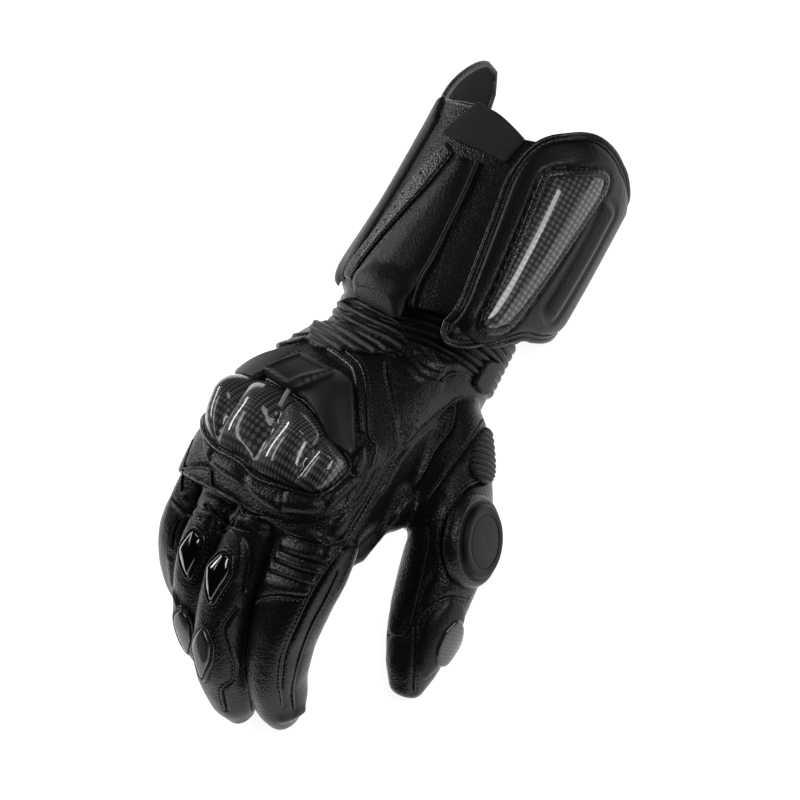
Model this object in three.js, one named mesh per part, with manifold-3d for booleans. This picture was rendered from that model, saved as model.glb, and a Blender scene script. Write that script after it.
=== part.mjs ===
// A right-hand motorcycle glove with a long gauntlet cuff, resting palm down as it lies on a table.
// Fingers point along -Y, the thumb is on the +X side, the back of the hand faces +Z.
// Millimetres and degrees.
import * as THREE from "three";
import { mergeVertices } from "three/addons/utils/BufferGeometryUtils.js";
import Module from "manifold-3d";

const wasm = await Module();
wasm.setup();

// Driving sizes
const leather = 2.2; // wall of hand, fingers and thumb
const cuffWall = 2.6; // wall of the lined gauntlet
const clearance = 0.8; // between a piece and the leather that carries it
const seamGap = 0.3; // between two walls sewn edge to edge

const wristWidth = 72;
const wristDepth = 53;
const wristLength = 14;
const wristHeight = 32.3; // middle of the wrist above the table
const palmWidth = 96;
const palmLength = 70;
const knuckleDepth = 42;
const webLength = 17;
const palmRise = 25; // the back of the hand climbs from the wrist to the knuckles
const palmTurn = 10; // the hand leans to the little finger

const cuffLength = 90;
const cuffWidth = 97;
const cuffDepth = 67;
const cuffHeight = 32.3; // middle of the cuff above the table
const cuffTurn = 3;
const farCorner = 41; // how far the far wall's corner stands past the hem
const cuffSlant = 6.5; // how far the wrist end leans back on the thumb's side

// One row for each finger. across, ahead and above place its knuckle, in shares of palmWidth, palmLength and
// knuckleDepth.
// root and end are its breadth at the knuckle and towards the tip, as shares of its width.
const fingers = [
  { name: "index", across: 0.355, ahead: 0, above: 0.16, turn: -15, width: 28, root: 1.16, end: 0.86 },
  { name: "middle", across: 0.09, ahead: 0, above: 0.19, turn: -14.5, width: 26, root: 1, end: 1 },
  { name: "ring", across: -0.165, ahead: -0.015, above: 0.15, turn: -15, width: 25, root: 1, end: 1 },
  { name: "little", across: -0.4, ahead: -0.05, above: 0.06, turn: -13, width: 22, root: 1, end: 1 },
];
// The bones of each finger and how far each dips below the level.
const bones = [
  { near: 49, nearDip: 26, mid: 28, midDip: 40, tip: 27, tipDip: 60 },
  { near: 52, nearDip: 18, mid: 31, midDip: 43, tip: 33, tipDip: 66 },
  { near: 48, nearDip: 21, mid: 30, midDip: 48, tip: 28, tipDip: 74 },
  { near: 41, nearDip: 24, mid: 25, midDip: 52, tip: 24, tipDip: 75 },
];

const thumbWidth = 33;
const thumbDepthRatio = 0.95;
const thumbBones = [
  { length: 56, dip: 2, turn: 38 },
  { length: 33, dip: 14, turn: -1 },
  { length: 33, dip: 22, turn: -5 },
];
const thumbAcross = 0.26; // its root, in shares of the palm's width and length
const thumbAhead = 0.13;
const thumbBelow = 3.5;
const thumbInwards = 2.5;

const guardBase = 2.4; // knuckle guard between its domes
const domeHeight = 9;
const shieldThickness = 3;
const shieldLift = 5.5;
const scoopThickness = 3;
const scoopLift = 6;
const skirtRadius = 3.6;
const padThickness = 3;
const stripThickness = 1.4;
const seamRollRadius = 2;
const weltRadius = 1.7;
const flapThickness = 4.6;
const flapRise = 3; // how far the flap stands off at its wrist end
const plateThickness = 2.2;
const sidePanelThickness = 2;
const sliderHeight = 3.6;
const insertThickness = 1.6;
const discDiameter = 29;
const discHeight = 4.6;
const discRing = 22;
const collarDiameter = 39;
const collarHeight = 3.2;
const ribHeight = 1.5;
const bellowsRibs = 5;
const bellowsLength = 25;
const thumbRibs = 6;
const strapThickness = 1.8;

const DEG = Math.PI / 180;
const lerp = THREE.MathUtils.lerp;
const bump = (x) => Math.max(0, 1 - x * x); // 1 in the middle, 0 at x = -1 and 1

// Reads a column of a table at a share between its rows, on a smooth curve through them.
function read(table, column, at) {
  let i = 0;
  while (i < table.length - 2 && at > table[i + 1].at) i += 1;
  const [p, q] = [table[i], table[i + 1]];
  const before = table[Math.max(0, i - 1)];
  const after = table[Math.min(table.length - 1, i + 2)];
  const span = q.at - p.at;
  const x = THREE.MathUtils.clamp((at - p.at) / span, 0, 1);
  const slopeIn = ((q[column] - before[column]) / (q.at - before.at)) * span;
  const slopeOut = ((after[column] - p[column]) / (after.at - p.at)) * span;
  const x2 = x * x;
  const x3 = x2 * x;
  return (
    (2 * x3 - 3 * x2 + 1) * p[column] +
    (x3 - 2 * x2 + x) * slopeIn +
    (3 * x2 - 2 * x3) * q[column] +
    (x3 - x2) * slopeOut
  );
}

// The axis of a limb that bends softly at its joints.
// Each bone has a length, a dip and a turn to the thumb's side.
// Gives the centre and the three directions at a share of the whole length.
function limbAxis(start, limb) {
  const steps = 80;
  const lengthTo = (end) => limb.slice(0, end + 1).reduce((sum, bone) => sum + bone.length, 0);
  const ends = limb.map((_, i) => lengthTo(i));
  const total = ends.at(-1);
  const angleAt = (distance, column) => {
    let angle = limb[0][column];
    for (let i = 1; i < limb.length; i += 1) {
      const soft = 0.42 * Math.min(limb[i - 1].length, limb[i].length);
      const share = THREE.MathUtils.smoothstep(distance, ends[i - 1] - soft, ends[i - 1] + soft);
      angle += share * (limb[i][column] - limb[i - 1][column]);
    }
    return angle * DEG;
  };
  const frameAt = (distance) => {
    const dip = angleAt(distance, "dip");
    const turn = angleAt(distance, "turn");
    const level = new THREE.Vector3(Math.sin(turn), -Math.cos(turn), 0);
    const up = new THREE.Vector3(0, 0, 1);
    return {
      along: level.clone().multiplyScalar(Math.cos(dip)).addScaledVector(up, -Math.sin(dip)),
      up: up.clone().multiplyScalar(Math.cos(dip)).addScaledVector(level, Math.sin(dip)),
      side: new THREE.Vector3(Math.cos(turn), Math.sin(turn), 0),
    };
  };
  const centres = [start.clone()];
  for (let i = 0; i < steps; i += 1) {
    const middle = frameAt(((i + 0.5) * total) / steps);
    centres.push(centres[i].clone().addScaledVector(middle.along, total / steps));
  }
  const axis = (share) => {
    const inside = THREE.MathUtils.clamp(share, 0, 1);
    const place = Math.min(inside * steps, steps - 1e-6);
    const i = Math.floor(place);
    const frame = frameAt(inside * total);
    const centre = centres[i].clone().lerp(centres[i + 1], place - i);
    centre.addScaledVector(frame.along, (share - inside) * total);
    return { centre, ...frame };
  };
  axis.total = total;
  return axis;
}

// A limb's skin: a point at a share of its axis and an angle round it, from the back over the thumb's side.
// size gives the half width on the thumb's side, the half heights above and below, and the far half width.
// The skin is pressed flat by the table.
function skin(axis, size, squareness) {
  const power = 2 / squareness;
  const flat = (share, angle, inset) => {
    const { centre, side, up } = axis(share);
    const [halfWidth, halfTop, halfBottom, halfFar = halfWidth] = size(share);
    const s = Math.sin(angle * DEG);
    const c = Math.cos(angle * DEG);
    const x = Math.sign(s) * Math.abs(s) ** power * ((s > 0 ? halfWidth : halfFar) - inset);
    const z = Math.sign(c) * Math.abs(c) ** power * ((c > 0 ? halfTop : halfBottom) - inset);
    const point = centre.addScaledVector(side, x).addScaledVector(up, z);
    point.z = Math.max(point.z, inset);
    return point;
  };
  const surface = (share, angle, out) => {
    const point = flat(share, angle, 0);
    const round = flat(share, angle + 1, 0).sub(flat(share, angle - 1, 0));
    const along = flat(share + 0.01, angle, 0).sub(flat(share - 0.01, angle, 0));
    const normal = round.cross(along).normalize();
    if (normal.dot(point.clone().sub(axis(share).centre)) < 0) normal.negate();
    return point.addScaledVector(normal, out);
  };
  surface.inset = flat;
  surface.axis = axis;
  return surface;
}

// Moves every vertex of a geometry, merges what coincides and turns its faces outwards.
function shape(geometry, place) {
  geometry.deleteAttribute("normal");
  geometry.deleteAttribute("uv");
  const position = geometry.getAttribute("position");
  for (let i = 0; i < position.count; i += 1) {
    const point = place(position.getX(i), position.getY(i), position.getZ(i));
    position.setXYZ(i, point.x, point.y, point.z);
  }
  const merged = mergeVertices(geometry, 1e-4);
  const [a, b, c] = [new THREE.Vector3(), new THREE.Vector3(), new THREE.Vector3()];
  const { array } = merged.index;
  const points = merged.getAttribute("position");
  let volume = 0;
  for (let i = 0; i < array.length; i += 3) {
    a.fromBufferAttribute(points, array[i]);
    b.fromBufferAttribute(points, array[i + 1]);
    c.fromBufferAttribute(points, array[i + 2]);
    volume += a.dot(b.cross(c));
  }
  if (volume < 0) {
    for (let i = 0; i < array.length; i += 3) [array[i + 1], array[i + 2]] = [array[i + 2], array[i + 1]];
  }
  return merged;
}

// A slab over a surface: place(u, v, w) with each from 0 to 1, w through its thickness.
function slab(place, columns, rows) {
  const box = new THREE.BoxGeometry(1, 1, 1, columns, rows, 1);
  return shape(box, (x, y, z) => place(x + 0.5, y + 0.5, z + 0.5));
}

// A bar closed at both ends: place(angle, share, radius), with radius 0 at the middle of its ends.
function bar(place, sides, rows) {
  const cylinder = new THREE.CylinderGeometry(1, 1, 1, sides, rows);
  return shape(cylinder, (x, y, z) => place(Math.atan2(x, z) / DEG, y + 0.5, Math.hypot(x, z)));
}

// A four-cornered area of a skin with rounded corners. u and v run from 0 to 1.
// Corners run round it from the one on the thumb's side of the far end, each at a share and an angle.
function rounded(corners, roundness, columns) {
  return (u, v) => {
    const a = 2 * u - 1;
    const b = 2 * v - 1;
    const x = (a * Math.sqrt(1 - (roundness * b * b) / 2) + 1) / 2;
    const y = (b * Math.sqrt(1 - (roundness * a * a) / 2) + 1) / 2;
    const [p, q, r, s] = corners;
    return columns.map((column) => lerp(lerp(p[column], q[column], x), lerp(s[column], r[column], x), y));
  };
}
function patch(surface, corners, roundness) {
  const spot = rounded(corners, roundness, ["share", "angle"]);
  return (u, v, out) => surface(...spot(u, v), out);
}

// A pad over an area: thick in the middle, thinner at the edge by the share rim.
const pillow = (u, v) => Math.sqrt(bump(2 * u - 1) * bump(2 * v - 1));
function pad(area, from, thickness, rim, columns, rows, rise = () => 0) {
  return slab(
    (u, v, w) => area(u, v, from + w * (thickness * lerp(rim, 1, pillow(u, v)) + rise(u, v))),
    columns,
    rows,
  );
}

// A round cord along a path that gives its middle and the direction out of the leather.
function cord(middle, radius, sides, rows) {
  return bar(
    (angle, share, r) => {
      const here = middle(share);
      const along = middle(share + 0.01).sub(middle(share - 0.01)).normalize();
      const out = middle.out(share);
      const across = along.clone().cross(out).normalize();
      const up = across.clone().cross(along);
      here.addScaledVector(across, r * radius * Math.sin(angle * DEG));
      return here.addScaledVector(up, r * radius * Math.cos(angle * DEG));
    },
    sides,
    rows,
  );
}

// A path over a skin through the rows of a table, at a height out of it.
function track(surface, table, height) {
  const at = (share) => surface(read(table, "share", share), read(table, "angle", share), height);
  at.out = (share) => {
    const [s, a] = [read(table, "share", share), read(table, "angle", share)];
    return surface(s, a, 1).sub(surface(s, a, 0));
  };
  return at;
}

function solid(geometry) {
  return new wasm.Manifold(
    new wasm.Mesh({
      numProp: 3,
      vertProperties: geometry.getAttribute("position").array,
      triVerts: new Uint32Array(geometry.index.array),
    }),
  );
}

// The largest body of a cut solid, as a geometry.
function largest(manifold) {
  const body = manifold.simplify(0.06).decompose().reduce((a, b) => (a.volume() > b.volume() ? a : b));
  const mesh = body.getMesh();
  return new THREE.BufferGeometry()
    .setAttribute("position", new THREE.BufferAttribute(mesh.vertProperties, 3))
    .setIndex(new THREE.BufferAttribute(mesh.triVerts, 1));
}

// Materials
const looks = {
  leather: new THREE.MeshStandardMaterial({ color: 0x151517, roughness: 0.48, metalness: 0 }),
  textile: new THREE.MeshStandardMaterial({ color: 0x0e0e10, roughness: 0.85, metalness: 0 }),
  woven: new THREE.MeshStandardMaterial({ color: 0x1b1c20, roughness: 0.18, metalness: 0.1 }),
  matte: new THREE.MeshStandardMaterial({ color: 0x1d1d1e, roughness: 0.55, metalness: 0 }),
  gloss: new THREE.MeshStandardMaterial({ color: 0x060607, roughness: 0.08, metalness: 0 }),
};
const glove = new THREE.Group();
function add(name, look, geometry) {
  const mesh = new THREE.Mesh(geometry, looks[look]);
  mesh.name = name;
  glove.add(mesh);
}

// The hand: wrist, palm and webs. broad and far take the thumb's side and the far side from the wrist's
// width to the palm's, thin takes the depth from the wrist's to the knuckles', and arch raises the back.
const handAxis = limbAxis(new THREE.Vector3(0, 0, wristHeight), [
  { length: wristLength, dip: 0, turn: 0 },
  { length: palmLength, dip: -palmRise, turn: -palmTurn },
  { length: webLength, dip: 6, turn: -palmTurn },
]);
const knuckleShare = (wristLength + palmLength) / handAxis.total;
const handTable = [
  { at: 0, broad: 0, far: 0, thin: 0, arch: 1 },
  { at: 0.16, broad: 0, far: 0.3, thin: 0.05, arch: 1.02 },
  { at: 0.36, broad: 0.42, far: 0.85, thin: 0.3, arch: 1.12 },
  { at: 0.6, broad: 0.84, far: 1.02, thin: 0.66, arch: 1.18 },
  { at: 0.85, broad: 1, far: 1, thin: 1, arch: 1.06 },
  { at: 1, broad: 0.95, far: 0.95, thin: 1.2, arch: 1 },
];
const hand = skin(
  handAxis,
  (share) => {
    const width = lerp(wristWidth, palmWidth, read(handTable, "broad", share));
    const farWidth = lerp(wristWidth, palmWidth, read(handTable, "far", share));
    const depth = lerp(wristDepth, knuckleDepth, read(handTable, "thin", share));
    return [width / 2, (depth / 2) * read(handTable, "arch", share), depth / 2, farWidth / 2];
  },
  2.5,
);

// The fingers, each a sleeve that starts inside the hand
const sleeveTable = [
  { at: 0, full: 0.97 },
  { at: 0.3, full: 1 },
  { at: 0.6, full: 0.97 },
  { at: 0.8, full: 0.91 },
  { at: 0.93, full: 0.75 },
  { at: 1, full: 0.42 },
];
function fingerSkin(finger, i) {
  const root = handAxis(knuckleShare);
  const start = root.centre
    .addScaledVector(root.side, finger.across * palmWidth)
    .addScaledVector(root.along, finger.ahead * palmLength)
    .addScaledVector(root.up, finger.above * knuckleDepth);
  const axis = limbAxis(start, [
    { length: bones[i].near, dip: bones[i].nearDip, turn: finger.turn },
    { length: bones[i].mid, dip: bones[i].midDip, turn: finger.turn },
    { length: bones[i].tip, dip: bones[i].tipDip, turn: finger.turn },
  ]);
  const half = (share) => (finger.width / 2) * read(sleeveTable, "full", share);
  const taper = (share) => lerp(finger.root, finger.end, THREE.MathUtils.smoothstep(share, 0.1, 0.8));
  const broad = (share) => half(share) * taper(share);
  return skin(axis, (share) => [broad(share), half(share), half(share)], 2.3);
}
const fingerSkins = fingers.map(fingerSkin);

// The thumb, from inside the ball of the hand
const thumbTable = [
  { at: 0, full: 0.95 },
  { at: 0.3, full: 1.05 },
  { at: 0.5, full: 1 },
  { at: 0.66, full: 0.9 },
  { at: 0.8, full: 0.84 },
  { at: 0.92, full: 0.64 },
  { at: 1, full: 0.34 },
];
const thumbStart = new THREE.Vector3(
  thumbAcross * palmWidth - thumbInwards,
  -wristLength - thumbAhead * palmLength,
  wristHeight - thumbBelow,
);
const thumbAxis = limbAxis(thumbStart, thumbBones);
const thumbHalf = (share) => (thumbWidth / 2) * read(thumbTable, "full", share);
const thumbHeight = (share) => thumbHalf(share) * thumbDepthRatio;
const thumb = skin(thumbAxis, (share) => [thumbHalf(share), thumbHeight(share), thumbHeight(share)], 2.1);

// A closed sleeve along a skin between two shares, inset by some leather. past lengthens both its ends.
function sleeve(surface, from, to, inset, sides, rows, past = 0) {
  return bar(
    (angle, share, radius) => {
      const stretch = share === 0 ? -past : share === 1 ? past : 0;
      const at = lerp(from, to, share) + stretch;
      if (radius > 0.5) return surface.inset(at, angle, inset);
      return surface.inset(at, 0, inset).add(surface.inset(at, 180, inset)).multiplyScalar(0.5);
    },
    sides,
    rows,
  );
}

const endOf = (surface) => 1 - leather / surface.axis.total;
const thumbHollow = solid(sleeve(thumb, 0.1, endOf(thumb), leather, 10, 8));
const fingerHollows = fingerSkins.map((f) => solid(sleeve(f, 0.1, endOf(f), leather, 10, 7)));
const handHollow = solid(sleeve(hand, -0.08, endOf(hand), leather, 20, 6));
const handOuter = solid(sleeve(hand, 0, 1, 0, 28, 8));
const handGrown = solid(sleeve(hand, 0, 1, -seamGap, 28, 8, seamGap / handAxis.total));

let handShell = handOuter.subtract(handHollow).subtract(thumbHollow);
for (const hollow of fingerHollows) handShell = handShell.subtract(hollow);
// The back and the palm are sewn together along the sides of the hand.
const backHalf = (below) =>
  solid(
    slab(
      (u, v, w) => {
        const { centre, side, up } = handAxis(lerp(-0.1, 1.1, v));
        centre.addScaledVector(side, (u - 0.5) * 2 * palmWidth);
        return centre.addScaledVector(up, w * palmWidth - below);
      },
      2,
      14,
    ),
  );
add("hand_back", "leather", largest(handShell.intersect(backHalf(0))));
add("hand_palm", "leather", largest(handShell.subtract(backHalf(3 * seamGap))));

const thumbOuter = solid(sleeve(thumb, -0.04, 1, 0, 16, 11));
const thumbGrown = solid(sleeve(thumb, -0.04, 1, -seamGap, 16, 11));
add("thumb", "leather", largest(thumbOuter.subtract(thumbHollow).subtract(handGrown)));

let taken = thumbGrown.add(handGrown);
fingers.forEach((finger, i) => {
  const surface = fingerSkins[i];
  const outer = solid(sleeve(surface, 0.12, 1, 0, 12, 10));
  add("finger_" + finger.name, "leather", largest(outer.subtract(fingerHollows[i]).subtract(taken)));
  taken = taken.add(solid(sleeve(surface, 0.12, 1, -seamGap, 12, 10)));
});

// The gauntlet, from its hem (0) to the wrist (1). Its far wall stands past the hem as a corner.
const cuffTable = [
  { at: 0, broad: 1, deep: 1 },
  { at: 0.5, broad: 1, deep: 0.99 },
  { at: 0.82, broad: 0.99, deep: 0.98 },
  { at: 0.93, broad: 0.95, deep: 0.97 },
  { at: 1, broad: 0.82, deep: 0.932 },
];
const cuffEnd = 14.4; // how far behind the start of the hand the gauntlet ends
const cuffAcross = 3.2; // the gauntlet's hem stands this far over to the thumb's side
const cuffAxis = limbAxis(new THREE.Vector3(cuffAcross, cuffLength + cuffEnd, cuffHeight), [
  { length: cuffLength / 2, dip: 0, turn: -cuffTurn + 1 },
  { length: cuffLength / 2, dip: 0, turn: -cuffTurn - 1 },
]);
const cuffHalf = (share) => (cuffDepth / 2) * read(cuffTable, "deep", share);
const cuff = skin(
  cuffAxis,
  (share) => [(cuffWidth / 2) * read(cuffTable, "broad", share), cuffHalf(share), cuffHalf(share)],
  2.6,
);
// How far the hem stands out at each angle, in shares of the far corner.
const hemTable = [
  { at: -180, out: 0 },
  { at: -110, out: 0 },
  { at: -100, out: 1 },
  { at: -90, out: 1 },
  { at: -60, out: 0.39 },
  { at: -50, out: 0.2 },
  { at: -30, out: 0.16 },
  { at: -5, out: 0.14 },
  { at: 20, out: -0.12 },
  { at: 60, out: -0.05 },
  { at: 120, out: 0 },
  { at: 180, out: 0 },
];
function hemShare(angle) {
  const wrapped = angle > 180 ? angle - 360 : angle;
  let i = 0;
  while (i < hemTable.length - 2 && wrapped > hemTable[i + 1].at) i += 1;
  const [p, q] = [hemTable[i], hemTable[i + 1]];
  const share = THREE.MathUtils.clamp((wrapped - p.at) / (q.at - p.at), 0, 1);
  return (-lerp(p.out, q.out, share) * farCorner) / cuffLength;
}
const wristShare = (angle) => 1 - (cuffSlant * Math.cos((angle - 110) * DEG)) / cuffLength;
function cuffSleeve(inset, past, sides, rows) {
  return bar(
    (angle, share, radius) => {
      const to = wristShare(angle) + past;
      const at = share === 0 ? hemShare(angle) - past : lerp(0.1, to, share);
      if (radius > 0.5) return cuff.inset(at, angle, inset);
      return cuff.inset(at, 0, inset).add(cuff.inset(at, 180, inset)).multiplyScalar(0.5);
    },
    sides,
    rows,
  );
}
const cuffOuter = solid(cuffSleeve(0, 0, 36, 5));
const cuffHollow = solid(cuffSleeve(cuffWall, 0.05, 36, 4));
add("cuff_shell", "leather", largest(cuffOuter.subtract(cuffHollow)));

// The gauntlet's overlays on the back: a smooth pad, a strip of vents, a stitched roll and a stretch panel
const backPad = patch(
  cuff,
  [
    { share: 0.24, angle: 6 },
    { share: 0.2, angle: -6 },
    { share: 0.95, angle: -33 },
    { share: 0.98, angle: 8.5 },
  ],
  0.25,
);
add("cuff_back_pad", "leather", pad(backPad, clearance, padThickness, 0.45, 6, 8));
const ventStrip = patch(
  cuff,
  [
    { share: 0.18, angle: -9 },
    { share: 0.18, angle: -21 },
    { share: 0.93, angle: -42 },
    { share: 0.93, angle: -34 },
  ],
  0.1,
);
add("cuff_vent_strip", "leather", pad(ventStrip, clearance, stripThickness, 0.7, 3, 8));
const rollTable = [
  { at: 0, share: 0.24, angle: 9.5 },
  { at: 0.5, share: 0.62, angle: 10.5 },
  { at: 1, share: 0.99, angle: 13 },
];
const rollHeight = clearance + seamRollRadius;
add("cuff_seam_roll", "leather", cord(track(cuff, rollTable, rollHeight), seamRollRadius, 8, 6));
const stretchPanel = patch(
  cuff,
  [
    { share: 0.05, angle: 20 },
    { share: -0.06, angle: -8 },
    { share: 0.12, angle: -16 },
    { share: 0.19, angle: 16 },
  ],
  0.05,
);
add("cuff_stretch_panel", "textile", pad(stretchPanel, clearance, stripThickness, 0.8, 6, 3));
const weltTable = [
  { at: 0, share: -0.14, angle: -47 },
  { at: 0.2, share: 0.05, angle: -43 },
  { at: 0.6, share: 0.5, angle: -43 },
  { at: 1, share: 0.97, angle: -58 },
];
add("cuff_welt", "leather", cord(track(cuff, weltTable, 2.2 * clearance + weltRadius), weltRadius, 6, 10));

// The closure flap lies over the gauntlet's thumb side, with a woven plate and a side panel on it
const flap = patch(
  cuff,
  [
    { share: -0.08, angle: 124 },
    { share: 0.0, angle: 19 },
    { share: 1.14, angle: 36 },
    { share: 0.76, angle: 124 },
  ],
  0.45,
);
const flapUnder = (u, v) => clearance + flapRise * THREE.MathUtils.smoothstep(v, 0.6, 1);
const flapTop = (u, v) => flapUnder(u, v) + flapThickness * lerp(0.45, 1, pillow(u, v) ** 0.6);
add(
  "cuff_flap",
  "leather",
  slab((u, v, w) => flap(u, v, lerp(flapUnder(u, v), flapTop(u, v), w)), 12, 8),
);
function onFlap(corners, roundness) {
  const spot = rounded(corners, roundness, ["u", "v"]);
  return (u, v, out) => {
    const [x, y] = spot(u, v);
    return flap(x, y, flapTop(x, y) + out);
  };
}
const flapPlate = onFlap(
  [
    { u: 0.48, v: 0.1 },
    { u: 0.8, v: 0.16 },
    { u: 0.84, v: 0.86 },
    { u: 0.56, v: 0.84 },
  ],
  0.35,
);
add("flap_plate", "woven", pad(flapPlate, clearance, plateThickness, 0.6, 6, 10));
const flapSide = onFlap(
  [
    { u: 0.12, v: 0.12 },
    { u: 0.4, v: 0.1 },
    { u: 0.48, v: 0.84 },
    { u: 0.16, v: 0.8 },
  ],
  0.3,
);
add("flap_side_panel", "leather", pad(flapSide, clearance, sidePanelThickness, 0.4, 5, 7));
// The ribbed stretch section between the gauntlet and the hand
const bellowsAxis = limbAxis(new THREE.Vector3(0, bellowsLength, wristHeight), [
  { length: bellowsLength / 2, dip: 0, turn: 0 },
  { length: bellowsLength / 2, dip: 0, turn: 0 },
]);
const bellows = skin(bellowsAxis, () => [wristWidth / 2, wristDepth / 2, wristDepth / 2], 2.5);
const bellowsEnd = 1 - seamGap / bellowsLength;
const ribWave = (share) => ribHeight * Math.sin(Math.PI * bellowsRibs * share) ** 2;
const bellowsOuter = bar(
  (angle, share, radius) => {
    const at = share * bellowsEnd;
    return bellows.inset(at, angle, -ribWave(share)).lerp(bellowsAxis(at).centre, 1 - Math.min(1, radius));
  },
  24,
  bellowsRibs * 2,
);
const bellowsHollow = bar(
  (angle, share, radius) => {
    const at = lerp(-0.1, 1.1, share);
    return bellows.inset(at, angle, leather).lerp(bellowsAxis(at).centre, 1 - Math.min(1, radius));
  },
  18,
  1,
);
add("wrist_bellows", "leather", largest(solid(bellowsOuter).subtract(solid(bellowsHollow))));

// The knuckle armour: a woven guard with four domes, a matte shield with a scoop, and a rolled leather skirt
const domes = [
  { at: 0.12, high: 1 },
  { at: 0.37, high: 1 },
  { at: 0.63, high: 0.95 },
  { at: 0.87, high: 0.85 },
];
const guard = patch(
  hand,
  [
    { share: 0.66, angle: 48 },
    { share: 0.66, angle: -60 },
    { share: 0.88, angle: -62 },
    { share: 0.88, angle: 54 },
  ],
  0.5,
);
function domeRise(u, v) {
  const width = 1 / (2 * domes.length);
  const hump = (dome) => bump((u - dome.at) / (1.15 * width)) * bump((v - 0.5) / 0.56);
  const lift = (dome) => dome.high * Math.sqrt(hump(dome));
  return domeHeight * Math.max(...domes.map(lift));
}
add("knuckle_guard", "woven", pad(guard, clearance, guardBase, 0.6, 20, 6, domeRise));

const shield = patch(
  hand,
  [
    { share: 0.36, angle: 16 },
    { share: 0.34, angle: -48 },
    { share: 0.61, angle: -62 },
    { share: 0.64, angle: 50 },
  ],
  0.2,
);
const shieldTable = [
  { at: 0, lift: 0.15 },
  { at: 0.35, lift: 0.45 },
  { at: 0.6, lift: 0.9 },
  { at: 1, lift: 1 },
];
const shieldSlope = (v) => THREE.MathUtils.smoothstep(v, 0, 0.6);
const shieldRise = (u, v) => shieldLift * read(shieldTable, "lift", u) * shieldSlope(v);
add("knuckle_shield", "matte", pad(shield, clearance, shieldThickness, 0.6, 9, 5, shieldRise));

const scoopBase = (u, v) => shieldThickness * lerp(0.6, 1, pillow(u, v)) + shieldRise(u, v);
const scoopArea = { left: 0.9, right: 0.46, far: 0.12, near: 0.9 };
add(
  "knuckle_scoop",
  "matte",
  slab(
    (u, v, w) => {
      const x = lerp(scoopArea.right, scoopArea.left, u);
      const y = lerp(scoopArea.far, scoopArea.near, v);
      const rise = scoopThickness * 0.5 + scoopLift * v * v * bump(0.8 * (2 * u - 1));
      return shield(x, y, 2 * clearance + scoopBase(x, y) + w * rise);
    },
    6,
    6,
  ),
);

const skirtTable = [
  { at: 0, share: 0.915, angle: -62 },
  { at: 0.25, share: 0.945, angle: -36 },
  { at: 0.5, share: 0.945, angle: -8 },
  { at: 0.75, share: 0.94, angle: 22 },
  { at: 0.9, share: 0.93, angle: 46 },
  { at: 1, share: 0.88, angle: 62 },
];
const skirt = cord(track(hand, skirtTable, clearance + skirtRadius), skirtRadius, 8, 16);
let skirtSolid = solid(skirt);
fingerSkins.forEach((surface) => {
  skirtSolid = skirtSolid.subtract(solid(sleeve(surface, 0, 0.5, -clearance, 14, 6)));
});
add("knuckle_skirt", "leather", largest(skirtSolid));

// Gloss sliders and small woven inserts on the fingers
const sliderTable = [
  { finger: 1, from: 0.29, to: 0.5, low: -16, high: 44 },
  { finger: 2, from: 0.29, to: 0.5, low: -20, high: 40 },
];
const insertTable = [
  { finger: 1, from: 0.61, to: 0.7, low: -10, high: 34 },
  { finger: 2, from: 0.6, to: 0.69, low: -26, high: 18 },
];
function fingerPatch(row, roundness) {
  return patch(
    fingerSkins[row.finger],
    [
      { share: row.from, angle: row.high },
      { share: row.from, angle: row.low },
      { share: row.to, angle: row.low },
      { share: row.to, angle: row.high },
    ],
    roundness,
  );
}
for (const row of sliderTable) {
  const geometry = pad(fingerPatch(row, 0.8), clearance, sliderHeight, 0.25, 5, 7);
  add("slider_" + fingers[row.finger].name, "gloss", geometry);
}
for (const row of insertTable) {
  const geometry = pad(fingerPatch(row, 0.7), clearance, insertThickness, 0.5, 4, 4);
  add("insert_" + fingers[row.finger].name, "woven", geometry);
}

// The thumb's armour: a disc in a leather collar, a padded tip with an oval insert, and ribs at its root
const discPlace = { share: 0.5, angle: 84 };
const discFoot = thumb(discPlace.share, discPlace.angle, 0);
const discOut = thumb(discPlace.share, discPlace.angle, 1).sub(discFoot).normalize();
function turned(profile, sides) {
  const points = profile.map(([radius, height]) => new THREE.Vector2(radius, height));
  const lathe = new THREE.LatheGeometry(points, sides);
  const turn = new THREE.Quaternion().setFromUnitVectors(new THREE.Vector3(0, 1, 0), discOut);
  return shape(lathe, (x, y, z) => new THREE.Vector3(x, y, z).applyQuaternion(turn).add(discFoot));
}
const discRadius = discDiameter / 2;
const collarRadius = collarDiameter / 2;
const thumbSunk = thumbWidth / 2;
const thumbClear = solid(sleeve(thumb, -0.04, 1, -clearance, 16, 11));
const collarSolid = solid(
  turned(
    [
      [0, -thumbSunk],
      [collarRadius, -thumbSunk],
      [collarRadius, -collarHeight],
      [lerp(discRadius, collarRadius, 0.6), collarHeight * 0.8],
      [discRadius + clearance, collarHeight],
      [0, collarHeight],
      [0, -thumbSunk],
    ],
    24,
  ),
);
const discPocket = solid(
  turned(
    [
      [0, clearance],
      [discRadius + seamGap, clearance],
      [discRadius + seamGap, 3 * collarHeight],
      [0, 3 * collarHeight],
      [0, clearance],
    ],
    24,
  ),
);
const collarCut = collarSolid.subtract(discPocket).subtract(thumbClear);
add("thumb_collar", "leather", largest(collarCut.subtract(handGrown)));
const ringRadius = discRing / 2;
add(
  "thumb_disc",
  "matte",
  turned(
    [
      [0, 1.6 * clearance],
      [discRadius, 1.6 * clearance],
      [discRadius, discHeight * 0.8],
      [discRadius - 1, discHeight],
      [ringRadius + 1, discHeight],
      [ringRadius, discHeight * 1.12],
      [ringRadius - 1, discHeight * 0.9],
      [0, discHeight],
      [0, 1.6 * clearance],
    ],
    24,
  ),
);
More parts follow.
